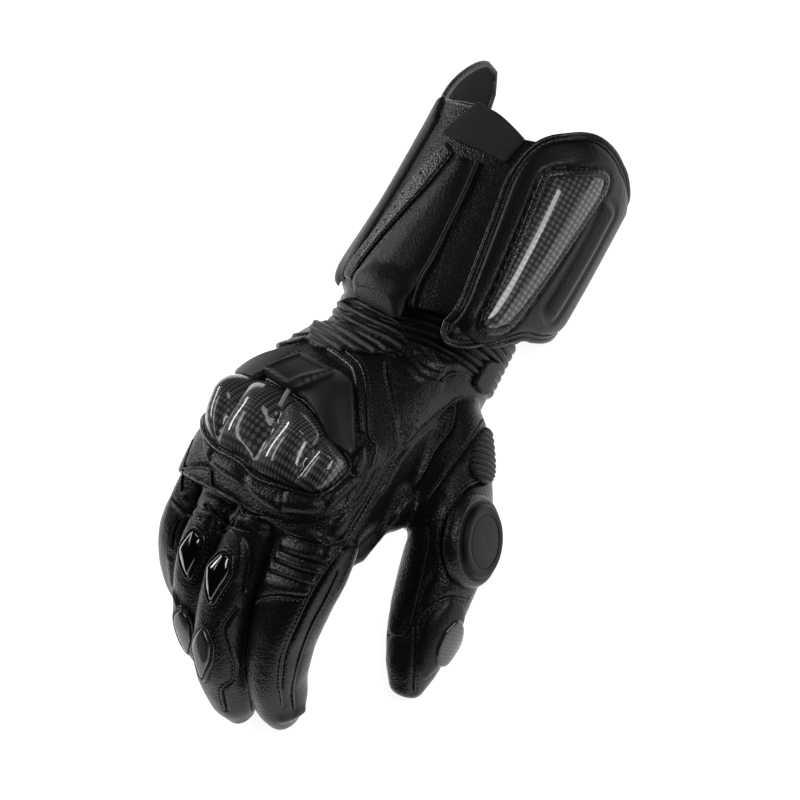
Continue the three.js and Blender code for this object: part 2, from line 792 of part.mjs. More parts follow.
const tipPad = patch(
  thumb,
  [
    { share: 0.68, angle: 132 },
    { share: 0.68, angle: 56 },
    { share: 0.92, angle: 56 },
    { share: 0.92, angle: 132 },
  ],
  0.8,
);
add("thumb_tip_pad", "leather", pad(tipPad, clearance, padThickness, 0.35, 7, 6));
const tipTop = (u, v) => padThickness * lerp(0.35, 1, pillow(u, v));
add(
  "thumb_insert",
  "woven",
  slab(
    (u, v, w) => {
      const [x, y] = [lerp(0.28, 0.72, u), lerp(0.22, 0.78, v)];
      const rim = lerp(0.5, 1, pillow(u, v));
      return tipPad(x, y, 2 * clearance + tipTop(x, y) + w * insertThickness * rim);
    },
    6,
    6,
  ),
);
const ribPatch = patch(
  thumb,
  [
    { share: -0.02, angle: 140 },
    { share: -0.02, angle: 76 },
    { share: 0.3, angle: 76 },
    { share: 0.3, angle: 140 },
  ],
  0.2,
);
const thumbRibWave = (u, v) => ribHeight * Math.sin(Math.PI * thumbRibs * v) ** 2;
const ribSlab = solid(pad(ribPatch, clearance, stripThickness, 1, 5, 2 * thumbRibs, thumbRibWave));
const collarGrown = solid(
  turned(
    [
      [0, -thumbSunk],
      [collarRadius + seamGap, -thumbSunk],
      [collarRadius + seamGap, 3 * collarHeight],
      [0, 3 * collarHeight],
      [0, -thumbSunk],
    ],
    24,
  ),
);
add("thumb_ribs", "leather", largest(ribSlab.subtract(collarGrown).subtract(handGrown)));

// The end of the wrist strap, coming out from under the flap
const strap = patch(
  hand,
  [
    { share: 0.0, angle: 150 },
    { share: 0.0, angle: 66 },
    { share: 0.08, angle: 62 },
    { share: 0.08, angle: 150 },
  ],
  0.2,
);
add("wrist_strap", "textile", pad(strap, clearance, strapThickness, 0.7, 8, 3));

// The glove stands on z = 0, with the middle of its length and breadth over the origin
glove.updateMatrixWorld(true);
const extent = new THREE.Box3().setFromObject(glove, true);
const middle = extent.getCenter(new THREE.Vector3());
glove.position.set(-middle.x, -middle.y, -extent.min.z);
glove.updateMatrixWorld(true);
export default glove;
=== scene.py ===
"""A long black leather riding glove, palm down on a pale floor.

Sizes are in millimetres until a mesh is stored. The limbs of the glove are skins round bent axes, as in the
part's source. Places on them are a share of the axis and an angle round it, from the back (0) over the
thumb's side (90). Trims are placed by pixels of the 800 by 800 picture, and lie on the skin or the leather
that is seen there.
"""

import math

import bmesh
import bpy
import numpy as np
from mathutils import Matrix, Vector, noise
from mathutils.bvhtree import BVHTree


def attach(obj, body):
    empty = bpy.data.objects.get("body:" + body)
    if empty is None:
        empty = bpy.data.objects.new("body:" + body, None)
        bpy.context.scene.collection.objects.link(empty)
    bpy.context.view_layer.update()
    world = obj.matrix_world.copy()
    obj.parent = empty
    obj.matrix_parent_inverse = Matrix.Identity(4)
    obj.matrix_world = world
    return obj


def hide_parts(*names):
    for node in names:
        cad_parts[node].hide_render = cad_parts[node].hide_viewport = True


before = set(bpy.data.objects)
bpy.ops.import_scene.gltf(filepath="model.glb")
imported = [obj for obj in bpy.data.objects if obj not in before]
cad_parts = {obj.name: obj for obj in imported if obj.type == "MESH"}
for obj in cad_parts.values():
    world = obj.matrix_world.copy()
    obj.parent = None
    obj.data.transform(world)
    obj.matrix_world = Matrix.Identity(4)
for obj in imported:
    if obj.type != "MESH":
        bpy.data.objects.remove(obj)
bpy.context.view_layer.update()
MM = 0.001
DEG = math.pi / 180

# The camera: its right and up, the point it looks at, its distance, and what a pixel covers at that point
PICTURE = 800
PIXEL = 0.42
DISTANCE = 1500.0
SENSOR = 36.0
AIM = np.array([7.473, -12.167, 44.207])
RIGHT = np.array([0.7674, 0.4370, -0.4695])
RIGHT /= np.linalg.norm(RIGHT)
UP = np.array([-0.1970, 0.8572, 0.4759])
UP -= (UP @ RIGHT) * RIGHT
UP /= np.linalg.norm(UP)
BACK = np.cross(RIGHT, UP)


def make_camera():
    data = bpy.data.cameras.new("camera")
    data.sensor_width = SENSOR
    data.lens = SENSOR * DISTANCE / (PICTURE * PIXEL)
    data.clip_start, data.clip_end = 0.05, 20
    camera = bpy.data.objects.new("camera", data)
    bpy.context.scene.collection.objects.link(camera)
    turn = Matrix([RIGHT, UP, BACK]).transposed().to_4x4()
    camera.matrix_world = Matrix.Translation(Vector((AIM + BACK * DISTANCE) * MM)) @ turn
    bpy.context.scene.camera = camera


def project(points):
    """Pixels at which points are seen."""
    v = np.asarray(points, float) - AIM
    k = DISTANCE / (DISTANCE - v @ BACK)
    half = PICTURE / 2
    return np.stack([half + v @ RIGHT / PIXEL * k, half - v @ UP / PIXEL * k], -1)


def sight(pixel):
    """Where the line of sight through a pixel starts, and its direction."""
    start = AIM + BACK * DISTANCE
    half = PICTURE / 2
    aim = AIM + (pixel[0] - half) * PIXEL * RIGHT + (half - pixel[1]) * PIXEL * UP
    return start, (aim - start) / np.linalg.norm(aim - start)


# Curves and skins


def read(table, column, at):
    """A column of a table at a place between its rows, on a smooth curve through them."""
    xs = np.array([row["at"] for row in table], float)
    ys = np.array([row[column] for row in table], float)
    at = np.asarray(at, float)
    i = np.clip(np.searchsorted(xs, at, side="left") - 1, 0, len(xs) - 2)
    before, after = np.maximum(i - 1, 0), np.minimum(i + 2, len(xs) - 1)
    span = xs[i + 1] - xs[i]
    x = np.clip((at - xs[i]) / span, 0, 1)
    slope_in = (ys[i + 1] - ys[before]) / (xs[i + 1] - xs[before]) * span
    slope_out = (ys[after] - ys[i]) / (xs[after] - xs[i]) * span
    x2, x3 = x * x, x * x * x
    ends = (2 * x3 - 3 * x2 + 1) * ys[i] + (3 * x2 - 2 * x3) * ys[i + 1]
    return ends + (x3 - 2 * x2 + x) * slope_in + (x3 - x2) * slope_out


def ease(x, low, high):
    t = np.clip((np.asarray(x, float) - low) / (high - low), 0, 1)
    return t * t * (3 - 2 * t)


def mix(a, b, t):
    return a + (b - a) * t


def hill(x, middle, half):
    """1 at the middle and 0 a few halves away."""
    return np.exp(-(((x - middle) / half) ** 2))


class Axis:
    """The bent axis of a limb. Each bone has a length, a dip and a turn to the thumb's side."""

    STEPS = 80

    def __init__(self, start, bones):
        self.bones = bones
        self.ends = np.cumsum([bone[0] for bone in bones])
        self.total = float(self.ends[-1])
        middles = (np.arange(self.STEPS) + 0.5) * self.total / self.STEPS
        steps = self.directions(middles)[0] * self.total / self.STEPS
        self.centres = np.vstack([start, start + np.cumsum(steps, 0)])

    def bend(self, distance, column):
        angle = np.full(np.shape(distance), float(self.bones[0][column]))
        for i in range(1, len(self.bones)):
            soft = 0.42 * min(self.bones[i - 1][0], self.bones[i][0])
            share = ease(distance, self.ends[i - 1] - soft, self.ends[i - 1] + soft)
            angle = angle + share * (self.bones[i][column] - self.bones[i - 1][column])
        return angle * DEG

    def directions(self, distance):
        dip, turn = self.bend(distance, 1), self.bend(distance, 2)
        none = np.zeros_like(dip)
        level = np.stack([np.sin(turn), -np.cos(turn), none], -1)
        up = np.array([0, 0, 1.0])
        c, s = np.cos(dip)[..., None], np.sin(dip)[..., None]
        side = np.stack([np.cos(turn), np.sin(turn), none], -1)
        return level * c - up * s, up * c + level * s, side

    def at(self, share):
        share = np.asarray(share, float)
        inside = np.clip(share, 0, 1)
        place = np.minimum(inside * self.STEPS, self.STEPS - 1e-6)
        i = np.floor(place).astype(int)
        part = (place - i)[..., None]
        along, up, side = self.directions(inside * self.total)
        centre = self.centres[i] * (1 - part) + self.centres[i + 1] * part
        return centre + along * ((share - inside) * self.total)[..., None], along, up, side


class Skin:
    """A skin round an axis. size gives half widths and heights: thumb side, top, bottom and far side."""

    def __init__(self, axis, size, squareness, degree):
        self.axis = axis
        self.size = size
        self.power = 2 / squareness
        self.degree = degree

    def flat(self, share, angle, inset=0.0):
        share, angle = np.broadcast_arrays(np.asarray(share, float), np.asarray(angle, float))
        centre, _, up, side = self.axis.at(share)
        near, top, bottom, far = self.size(share)
        s, c = np.sin(angle * DEG), np.cos(angle * DEG)
        x = np.sign(s) * np.abs(s) ** self.power * (np.where(s > 0, near, far) - inset)
        z = np.sign(c) * np.abs(c) ** self.power * (np.where(c > 0, top, bottom) - inset)
        point = centre + side * x[..., None] + up * z[..., None]
        point[..., 2] = np.maximum(point[..., 2], inset)
        return point

    def unrolled(self, share, angle):
        """Places in a plane, by their distance round the skin and along it."""
        return np.stack([np.asarray(angle) * self.degree, np.asarray(share) * self.axis.total], -1)

    def normal(self, share, angle):
        share, angle = np.broadcast_arrays(np.asarray(share, float), np.asarray(angle, float))
        around = self.flat(share, angle + 1.5) - self.flat(share, angle - 1.5)
        along = self.flat(share + 0.012, angle) - self.flat(share - 0.012, angle)
        n = np.cross(around, along)
        n /= np.linalg.norm(n, axis=-1, keepdims=True) + 1e-12
        outward = self.flat(share, angle) - self.axis.at(share)[0]
        sign = np.sign((outward * n).sum(-1, keepdims=True))
        sign[sign == 0] = 1
        return n * sign

    def at(self, share, angle, out=0.0):
        out = np.asarray(out, float)
        point = self.flat(share, angle) + self.normal(share, angle) * out[..., None]
        point[..., 2] = np.maximum(point[..., 2], 0.05)
        return point

    def seen(self, pixels, out=0.0, shares=(-0.5, 1.25), angles=(-125, 150)):
        """The share and angle of each pixel on the side that the camera sees."""
        s, a = np.meshgrid(np.linspace(*shares, 150), np.linspace(*angles, 150), indexing="ij")
        height = np.full(s.shape, float(out))
        spots = project(self.at(s, a, height))
        hidden = self.normal(s, a) @ BACK < -0.02
        found = []
        for pixel in pixels:
            off = np.hypot(spots[..., 0] - pixel[0], spots[..., 1] - pixel[1])
            i = np.unravel_index(np.argmin(np.where(hidden, 1e9, off)), off.shape)
            here = np.array([s[i], a[i]])
            reach = np.array([(shares[1] - shares[0]) / 150, (angles[1] - angles[0]) / 150])
            for _ in range(3):
                grid = np.stack(np.meshgrid(*[np.linspace(-1, 1, 7)] * 2, indexing="ij"), -1)
                near = here + grid * reach
                p = project(self.at(near[..., 0], near[..., 1], np.full(near.shape[:2], float(out))))
                j = np.unravel_index(np.argmin(np.hypot(*(p - pixel).transpose(2, 0, 1))), p.shape[:2])
                here = near[j]
                reach = reach / 2.5
            found.append((float(here[0]), float(here[1])))
        return found


WRIST_WIDTH, WRIST_DEPTH, WRIST_HEIGHT = 72, 53, 32.3
PALM_WIDTH, KNUCKLE_DEPTH, PALM_LENGTH, WRIST_LENGTH = 96, 42, 70, 14
HAND_START = np.array([-4.5146, 9.3286, WRIST_HEIGHT])
HAND_TABLE = [
    {"at": 0, "broad": 0, "far": 0.6, "thin": 0, "arch": 1.02},
    {"at": 0.16, "broad": 0, "far": 1.55, "thin": 0.05, "arch": 1.15},
    {"at": 0.36, "broad": 0.42, "far": 1.6, "thin": 0.3, "arch": 1.25},
    {"at": 0.6, "broad": 0.9, "far": 1.34, "thin": 0.66, "arch": 1.25},
    {"at": 0.85, "broad": 1.1, "far": 1.06, "thin": 1, "arch": 1.07},
    {"at": 1, "broad": 0.95, "far": 0.95, "thin": 1.2, "arch": 1},
]
WALL = 2.2
hand_axis = Axis(HAND_START, [(WRIST_LENGTH, 0, 0), (PALM_LENGTH, -25, -10), (17, 6, -10)])


def hand_size(share):
    near = mix(WRIST_WIDTH, PALM_WIDTH, read(HAND_TABLE, "broad", share)) / 2
    far = mix(WRIST_WIDTH, PALM_WIDTH, read(HAND_TABLE, "far", share)) / 2
    half = mix(WRIST_DEPTH, KNUCKLE_DEPTH, read(HAND_TABLE, "thin", share)) / 2
    return near, half * read(HAND_TABLE, "arch", share), half, far


hand = Skin(hand_axis, hand_size, 2.5, 0.7)

FINGERS = [
    {"name": "index", "across": 0.355, "ahead": 0, "above": 0.16, "turn": -15, "width": 28, "root": 1.16,
     "end": 0.86, "near": 5.0, "bones": ((49, 26), (28, 40), (27, 60))},
    {"name": "middle", "across": 0.09, "ahead": 0, "above": 0.19, "turn": -14.5, "width": 26, "root": 1,
     "end": 1, "bones": ((52, 18), (31, 43), (33, 66))},
    {"name": "ring", "across": -0.165, "ahead": -0.015, "above": 0.15, "turn": -15, "width": 25, "root": 1,
     "end": 1, "bones": ((48, 21), (30, 48), (28, 74))},
    {"name": "little", "across": -0.4, "ahead": -0.05, "above": 0.06, "turn": -13, "width": 22, "root": 1,
     "end": 1, "far": 5.6, "bones": ((41, 24), (25, 52), (24, 75))},
]
SLEEVE_TABLE = [
    {"at": 0, "full": 0.97},
    {"at": 0.3, "full": 1},
    {"at": 0.6, "full": 0.97},
    {"at": 0.8, "full": 0.92},
    {"at": 0.93, "full": 0.78},
    {"at": 1, "full": 0.5},
]


def finger_skin(row):
    centre, along, up, side = hand_axis.at((WRIST_LENGTH + PALM_LENGTH) / hand_axis.total)
    start = centre + side * row["across"] * PALM_WIDTH + along * row["ahead"] * PALM_LENGTH
    start = start + up * row["above"] * KNUCKLE_DEPTH
    axis = Axis(start, [(length, dip, row["turn"]) for length, dip in row["bones"]])

    def size(share):
        half = row["width"] / 2 * read(SLEEVE_TABLE, "full", share)
        broad = half * mix(row["root"], row["end"], ease(share, 0.1, 0.8))
        near = broad + row.get("near", 0) * (hill(share, 0.2, 0.34) - 0.3 * hill(share, 0.86, 0.14))
        return near, half, half, broad + row.get("far", 0) * hill(share, 0.6, 0.3)

    return Skin(axis, size, 2.3, 0.23)


index, middle, ring, little = [finger_skin(row) for row in FINGERS]

THUMB_TABLE = [
    {"at": 0, "full": 0.95},
    {"at": 0.3, "full": 1.05},
    {"at": 0.5, "full": 1},
    {"at": 0.66, "full": 0.92},
    {"at": 0.8, "full": 0.86},
    {"at": 0.92, "full": 0.68},
    {"at": 1, "full": 0.42},
]
thumb_axis = Axis(np.array([17.9454, -13.7714, 28.8]), [(56, 2, 38), (33, 14, -1), (33, 22, -5)])


def thumb_size(share):
    half = 33 / 2 * read(THUMB_TABLE, "full", share)
    near = half + 6.0 * hill(share, 0.06, 0.22) - 1.4 * hill(share, 0.86, 0.16)
    return near, half * 0.95, half * 0.95, half + 2.6 * hill(share, 0.55, 0.32)


thumb = Skin(thumb_axis, thumb_size, 2.1, 0.28)

CUFF_LENGTH, CUFF_WIDTH, CUFF_DEPTH, FAR_CORNER = 90, 97, 67, 41
CUFF_TABLE = [
    {"at": 0, "broad": 1, "deep": 1},
    {"at": 0.5, "broad": 1, "deep": 0.99},
    {"at": 0.82, "broad": 0.99, "deep": 0.98},
    {"at": 0.93, "broad": 0.95, "deep": 0.97},
    {"at": 1, "broad": 0.82, "deep": 0.932},
]
CUFF_START = np.array([-1.3146, 113.7286, 32.3])
CUFF_WALL = 2.6
cuff_axis = Axis(CUFF_START, [(45, 0, -2), (45, 0, -4)])


def cuff_size(share):
    broad = CUFF_WIDTH / 2 * read(CUFF_TABLE, "broad", share)
    half = CUFF_DEPTH / 2 * read(CUFF_TABLE, "deep", share)
    return broad, half, half, broad - 1.3 * (1 - ease(share, 0.3, 0.9))


cuff = Skin(cuff_axis, cuff_size, 2.6, 0.76)
HEM_TABLE = [
    {"at": -180, "out": 0},
    {"at": -118, "out": 0},
    {"at": -106, "out": 0.8},
    {"at": -98, "out": 1},
    {"at": -90, "out": 1},
    {"at": -60, "out": 0.39},
    {"at": -50, "out": 0.2},
    {"at": -30, "out": 0.12},
    {"at": -5, "out": 0.1},
    {"at": 20, "out": -0.15},
    {"at": 60, "out": -0.05},
    {"at": 120, "out": 0},
    {"at": 180, "out": 0},
]


def hem_share(angle):
    """Where the hem is, as a share of the cuff's axis, at an angle round it."""
    wrapped = (np.asarray(angle, float) + 180) % 360 - 180
    out = np.interp(wrapped, [row["at"] for row in HEM_TABLE], [row["out"] for row in HEM_TABLE])
    return -out * FAR_CORNER / CUFF_LENGTH


# Materials


def group(name, sockets_in, sockets_out, build):
    tree = bpy.data.node_groups.new(name, "ShaderNodeTree")
    for label, kind, value in sockets_in:
        socket = tree.interface.new_socket(label, in_out="INPUT", socket_type=kind)
        if value is not None:
            socket.default_value = value
    for label, kind in sockets_out:
        tree.interface.new_socket(label, in_out="OUTPUT", socket_type=kind)
    build(tree, tree.nodes.new("NodeGroupInput"), tree.nodes.new("NodeGroupOutput"))
    return tree


def add(tree, kind, **settings):
    node = tree.nodes.new(kind)
    for key, value in settings.items():
        setattr(node, key, value)
    return node


def calculate(tree, operation, a, b, clamp=False):
    node = add(tree, "ShaderNodeMath", operation=operation, use_clamp=clamp)
    for socket, value in zip(node.inputs, (a, b)):
        if isinstance(value, (int, float)):
            socket.default_value = value
        else:
            tree.links.new(value, socket)
    return node.outputs[0]


def scaled_noise(tree, vector, scale, detail, rough=0.55):
    node = add(tree, "ShaderNodeTexNoise")
    node.inputs["Detail"].default_value = detail
    node.inputs["Roughness"].default_value = rough
    tree.links.new(vector, node.inputs["Vector"])
    if isinstance(scale, (int, float)):
        node.inputs["Scale"].default_value = scale
    else:
        tree.links.new(scale, node.inputs["Scale"])
    return node.outputs["Fac"]


def build_grain(tree, given, result):
    """Pebbled leather: cells of a millimetre with creases between, fine pores and slow unevenness."""
    place = given.outputs["Vector"]
    warp = scaled_noise(tree, place, 900, 2)
    shifted = add(tree, "ShaderNodeVectorMath", operation="MULTIPLY_ADD")
    tree.links.new(warp, shifted.inputs[0])
    shifted.inputs[1].default_value = (0.0005, 0.0005, 0.0005)
    tree.links.new(place, shifted.inputs[2])
    cells = add(tree, "ShaderNodeTexVoronoi", feature="SMOOTH_F1")
    cells.inputs["Smoothness"].default_value = 0.6
    tree.links.new(shifted.outputs[0], cells.inputs["Vector"])
    tree.links.new(given.outputs["Scale"], cells.inputs["Scale"])
    pebble = calculate(tree, "SUBTRACT", 0.85, cells.outputs["Distance"], clamp=True)
    pores = scaled_noise(tree, place, 4200, 3)
    slow = scaled_noise(tree, place, 70, 4)
    creases = scaled_noise(tree, place, 260, 5, 0.7)
    height = calculate(tree, "MULTIPLY", pebble, given.outputs["Pebble"])
    height = calculate(tree, "ADD", height, calculate(tree, "MULTIPLY", pores, 0.25))
    creased = calculate(tree, "MULTIPLY", creases, given.outputs["Crease"])
    height = calculate(tree, "ADD", height, creased)
    tree.links.new(height, result.inputs["Height"])
    shine = calculate(tree, "MULTIPLY", calculate(tree, "SUBTRACT", slow, 0.5), 0.1)
    shine = calculate(tree, "SUBTRACT", shine, calculate(tree, "MULTIPLY", pebble, 0.1))
    rough = calculate(tree, "ADD", given.outputs["Roughness"], shine, clamp=True)
    tree.links.new(rough, result.inputs["Roughness"])
    # Painted shade: the colour is darker in the creases between the pebbles and lighter on their tops; the
    # slow noise adds a tone that differs at random.
    shade = calculate(tree, "ADD", 0.75, calculate(tree, "MULTIPLY", pebble, 0.3))
    shade = calculate(tree, "ADD", shade, calculate(tree, "MULTIPLY", slow, 0.25))
    tree.links.new(shade, result.inputs["Shade"])


def build_weave(tree, given, result):
    """A twill of flat tows under lacquer, on the piece's own map: dark squares and pale squares in turn, the
    pale ones a painted sheen of the tows.
    """
    place = add(tree, "ShaderNodeVectorMath", operation="SCALE")
    tree.links.new(given.outputs["Vector"], place.inputs[0])
    tree.links.new(given.outputs["Scale"], place.inputs["Scale"])
    parts = add(tree, "ShaderNodeSeparateXYZ")
    tree.links.new(place.outputs[0], parts.inputs[0])
    turned_u = calculate(tree, "ADD", parts.outputs[0], parts.outputs[1])
    turned_v = calculate(tree, "SUBTRACT", parts.outputs[0], parts.outputs[1])
    wave_u = calculate(tree, "SINE", calculate(tree, "MULTIPLY", turned_u, math.pi), 0)
    wave_v = calculate(tree, "SINE", calculate(tree, "MULTIPLY", turned_v, math.pi), 0)
    product = calculate(tree, "MULTIPLY", wave_u, wave_v)
    dots = add(tree, "ShaderNodeMapRange", interpolation_type="SMOOTHSTEP")
    dots.inputs["From Min"].default_value = -0.15
    dots.inputs["From Max"].default_value = 0.55
    tree.links.new(product, dots.inputs["Value"])
    fibres = scaled_noise(tree, given.outputs["Vector"], 5200, 2)
    # The pale squares, and the fibre flicker in them, are painted sheen of the tows.
    mask = calculate(tree, "MULTIPLY", dots.outputs[0], calculate(tree, "ADD", 0.7,
                                                                  calculate(tree, "MULTIPLY", fibres, 0.6)))
    tree.links.new(mask, result.inputs["Mask"])
    tree.links.new(product, result.inputs["Height"])


def build_knit(tree, given, result):
    """A fine ribbed knit on the piece's own map."""
    place = add(tree, "ShaderNodeVectorMath", operation="SCALE")
    tree.links.new(given.outputs["Vector"], place.inputs[0])
    tree.links.new(given.outputs["Scale"], place.inputs["Scale"])
    parts = add(tree, "ShaderNodeSeparateXYZ")
    tree.links.new(place.outputs[0], parts.inputs[0])
    ribs = calculate(tree, "SINE", calculate(tree, "MULTIPLY", parts.outputs[0], 2 * math.pi), 0)
    loops = calculate(tree, "SINE", calculate(tree, "MULTIPLY", parts.outputs[1], 2 * math.pi), 0)
    height = calculate(tree, "ADD", calculate(tree, "ABSOLUTE", ribs, 0),
                       calculate(tree, "MULTIPLY", loops, 0.5))
    fuzz = scaled_noise(tree, given.outputs["Vector"], 3000, 3)
    height = calculate(tree, "ADD", height, calculate(tree, "MULTIPLY", fuzz, 0.8))
    tree.links.new(height, result.inputs["Height"])
    # Painted shade: the knit is darker in its hollows and lighter on its ribs and loops.
    shade = calculate(tree, "ADD", 0.6, calculate(tree, "MULTIPLY", height, 0.35))
    tree.links.new(shade, result.inputs["Shade"])


def build_pale_rims(tree, given, result):
    """Paler rims: where the edge mask is high and the noise lets it, the finish is paler and duller."""
    spots = scaled_noise(tree, given.outputs["Vector"], 800, 4)
    high = calculate(tree, "MULTIPLY", given.outputs["Edge"], spots)
    rim_ramp = add(tree, "ShaderNodeMapRange", interpolation_type="SMOOTHSTEP")
    rim_ramp.inputs["From Min"].default_value = 0.25
    rim_ramp.inputs["From Max"].default_value = 0.7
    tree.links.new(high, rim_ramp.inputs["Value"])
    tree.links.new(rim_ramp.outputs[0], result.inputs["Mask"])


VECTOR, NUMBER = "NodeSocketVector", "NodeSocketFloat"
grain_group = group(
    "leather_grain",
    [("Vector", VECTOR, None), ("Scale", NUMBER, 800), ("Pebble", NUMBER, 1), ("Crease", NUMBER, 0.5),
     ("Roughness", NUMBER, 0.45)],
    [("Height", NUMBER), ("Roughness", NUMBER), ("Shade", NUMBER)],
    build_grain,
)
weave_group = group("lacquered_weave_painted_sheen", [("Vector", VECTOR, None), ("Scale", NUMBER, 300)],
                    [("Mask", NUMBER), ("Height", NUMBER)], build_weave)
knit_group = group("fine_knit", [("Vector", VECTOR, None), ("Scale", NUMBER, 900)],
                   [("Height", NUMBER), ("Shade", NUMBER)], build_knit)
rim_group = group("pale_rims", [("Vector", VECTOR, None), ("Edge", NUMBER, 0)], [("Mask", NUMBER)],
                   build_pale_rims)


def material(name):
    made = bpy.data.materials.new(name)
    made.use_nodes = True
    tree = made.node_tree
    tree.nodes.clear()
    shader = add(tree, "ShaderNodeBsdfPrincipled")
    output = add(tree, "ShaderNodeOutputMaterial")
    tree.links.new(shader.outputs[0], output.inputs[0])
    return made, tree, shader


def place_on(tree, mapped):
    if mapped:
        return add(tree, "ShaderNodeUVMap", uv_map="surface").outputs[0]
    return add(tree, "ShaderNodeTexCoord").outputs["Object"]


def use_group(tree, node_group, **values):
    node = add(tree, "ShaderNodeGroup", node_tree=node_group)
    for label, value in values.items():
        socket = node.inputs[label]
        if isinstance(value, (int, float)):
            socket.default_value = value
        else:
            tree.links.new(value, socket)
    return node


def shaded(tree, shade, color, bright=None, mask=None):
    """The colour times a shade that changes over the surface, going to bright where the mask is 1."""
    node = add(tree, "ShaderNodeVectorMath", operation="SCALE")
    node.inputs[0].default_value = color
    tree.links.new(shade, node.inputs["Scale"])
    if mask is None:
        return node.outputs[0]
    blend = add(tree, "ShaderNodeMix", data_type="RGBA")
    tree.links.new(mask, blend.inputs["Factor"])
    tree.links.new(node.outputs[0], blend.inputs["A"])
    blend.inputs["B"].default_value = (*bright, 1)
    return blend.outputs["Result"]


def bumped(tree, shader, height, strength, distance):
    bump = add(tree, "ShaderNodeBump")
    bump.inputs["Strength"].default_value = strength
    bump.inputs["Distance"].default_value = distance
    tree.links.new(height, bump.inputs["Height"])
    tree.links.new(bump.outputs[0], shader.inputs["Normal"])


def leather(name, color, roughness, scale=800, pebble=1.0, crease=0.6, strength=0.35, depth=0.0004,
            gloss=0.5):
    made, tree, shader = material(name)
    place = place_on(tree, False)
    grain = use_group(tree, grain_group, Vector=place, Scale=scale, Pebble=pebble, Crease=crease,
                      Roughness=roughness)
    edge = add(tree, "ShaderNodeAttribute", attribute_name="edge").outputs["Fac"]
    # Paler, duller rims near the panels' edges, in noisy spots.
    rim_mask = use_group(tree, rim_group, Vector=place, Edge=edge).outputs["Mask"]
    pale = [min(1, c * 3.2 + 0.01) for c in color]
    tree.links.new(shaded(tree, grain.outputs["Shade"], color, pale, rim_mask), shader.inputs["Base Color"])
    rough = calculate(tree, "ADD", grain.outputs["Roughness"], calculate(tree, "MULTIPLY", rim_mask, 0.12),
                      clamp=True)
    tree.links.new(rough, shader.inputs["Roughness"])
    bumped(tree, shader, grain.outputs["Height"], strength, depth)
    shader.inputs["Specular IOR Level"].default_value = gloss
    return made


def lacquered(name, scale, dark, pale, lacquer_rough=0.06):
    made, tree, shader = material(name)
    place = place_on(tree, True)
    weave = use_group(tree, weave_group, Vector=place, Scale=scale)
    # The dark colour is the weave's own; the pale colour on the mask is painted sheen.
    blend = add(tree, "ShaderNodeMix", data_type="RGBA")
    blend.inputs["A"].default_value = (*dark, 1)
    blend.inputs["B"].default_value = (*pale, 1)
    tree.links.new(weave.outputs["Mask"], blend.inputs["Factor"])
    tree.links.new(blend.outputs["Result"], shader.inputs["Base Color"])
    rough = calculate(tree, "ADD", 0.55, calculate(tree, "MULTIPLY", weave.outputs["Mask"], -0.2))
    tree.links.new(rough, shader.inputs["Roughness"])
    bumped(tree, shader, weave.outputs["Height"], 0.15, 0.0001)
    shader.inputs["Coat Weight"].default_value = 1
    shader.inputs["Coat Roughness"].default_value = lacquer_rough
    shader.inputs["Coat IOR"].default_value = 1.5
    return made


def moulded(name, color, roughness, strength=0.12, fleck=2600, coat=0.0, gloss=0.5):
    made, tree, shader = material(name)
    place = place_on(tree, False)
    fine = scaled_noise(tree, place, fleck, 3)
    slow = scaled_noise(tree, place, 90, 3)
    edge = add(tree, "ShaderNodeAttribute", attribute_name="edge").outputs["Fac"]
    # Paler, duller rims near the panels' edges, in noisy spots.
    rim_mask = use_group(tree, rim_group, Vector=place, Edge=edge).outputs["Mask"]
    shade = calculate(tree, "ADD", 0.85, calculate(tree, "MULTIPLY", slow, 0.3))
    pale = [min(1, c * 2.5 + 0.01) for c in color]
    tree.links.new(shaded(tree, shade, color, pale, rim_mask), shader.inputs["Base Color"])
    rough = calculate(tree, "ADD", roughness, calculate(tree, "MULTIPLY",
                                                        calculate(tree, "SUBTRACT", slow, 0.5), 0.15))
    tree.links.new(rough, shader.inputs["Roughness"])
    bumped(tree, shader, fine, strength, 0.00008)
    shader.inputs["Specular IOR Level"].default_value = gloss
    shader.inputs["Coat Weight"].default_value = coat
    shader.inputs["Coat Roughness"].default_value = 0.04
    return made


def knitted(name, color, scale, roughness=0.8, strength=0.6, depth=0.0003, sheen=0.15):
    made, tree, shader = material(name)
    place = place_on(tree, True)
    knit = use_group(tree, knit_group, Vector=place, Scale=scale)
    tree.links.new(shaded(tree, knit.outputs["Shade"], color), shader.inputs["Base Color"])
    shader.inputs["Roughness"].default_value = roughness
    shader.inputs["Sheen Weight"].default_value = sheen
    shader.inputs["Sheen Roughness"].default_value = 0.4
    bumped(tree, shader, knit.outputs["Height"], strength, depth)
    return made


def spun(name, color):
    made, tree, shader = material(name)
    place = place_on(tree, False)
    fibre = scaled_noise(tree, place, 6000, 2)
    shade = calculate(tree, "ADD", 0.7, calculate(tree, "MULTIPLY", fibre, 0.6))
    tree.links.new(shaded(tree, shade, color), shader.inputs["Base Color"])
    shader.inputs["Roughness"].default_value = 0.55
    bumped(tree, shader, fibre, 0.4, 0.0001)
    return made


BLACK = (0.0066, 0.0066, 0.007)
body_leather = leather("body_leather", BLACK, 0.33, scale=1000, crease=0.3, strength=0.5, gloss=0.3)
smooth_leather = leather("smooth_leather", (0.0045, 0.0045, 0.005), 0.38, scale=950, pebble=0.7, crease=0.5,
                         strength=0.45, gloss=0.25)
edge_leather = leather("edge_leather", (0.007, 0.007, 0.0075), 0.3, scale=1100, strength=0.35, gloss=0.45)
lining = leather("lining_suede", (0.008, 0.008, 0.009), 0.8, scale=1400, strength=0.4, gloss=0.2)
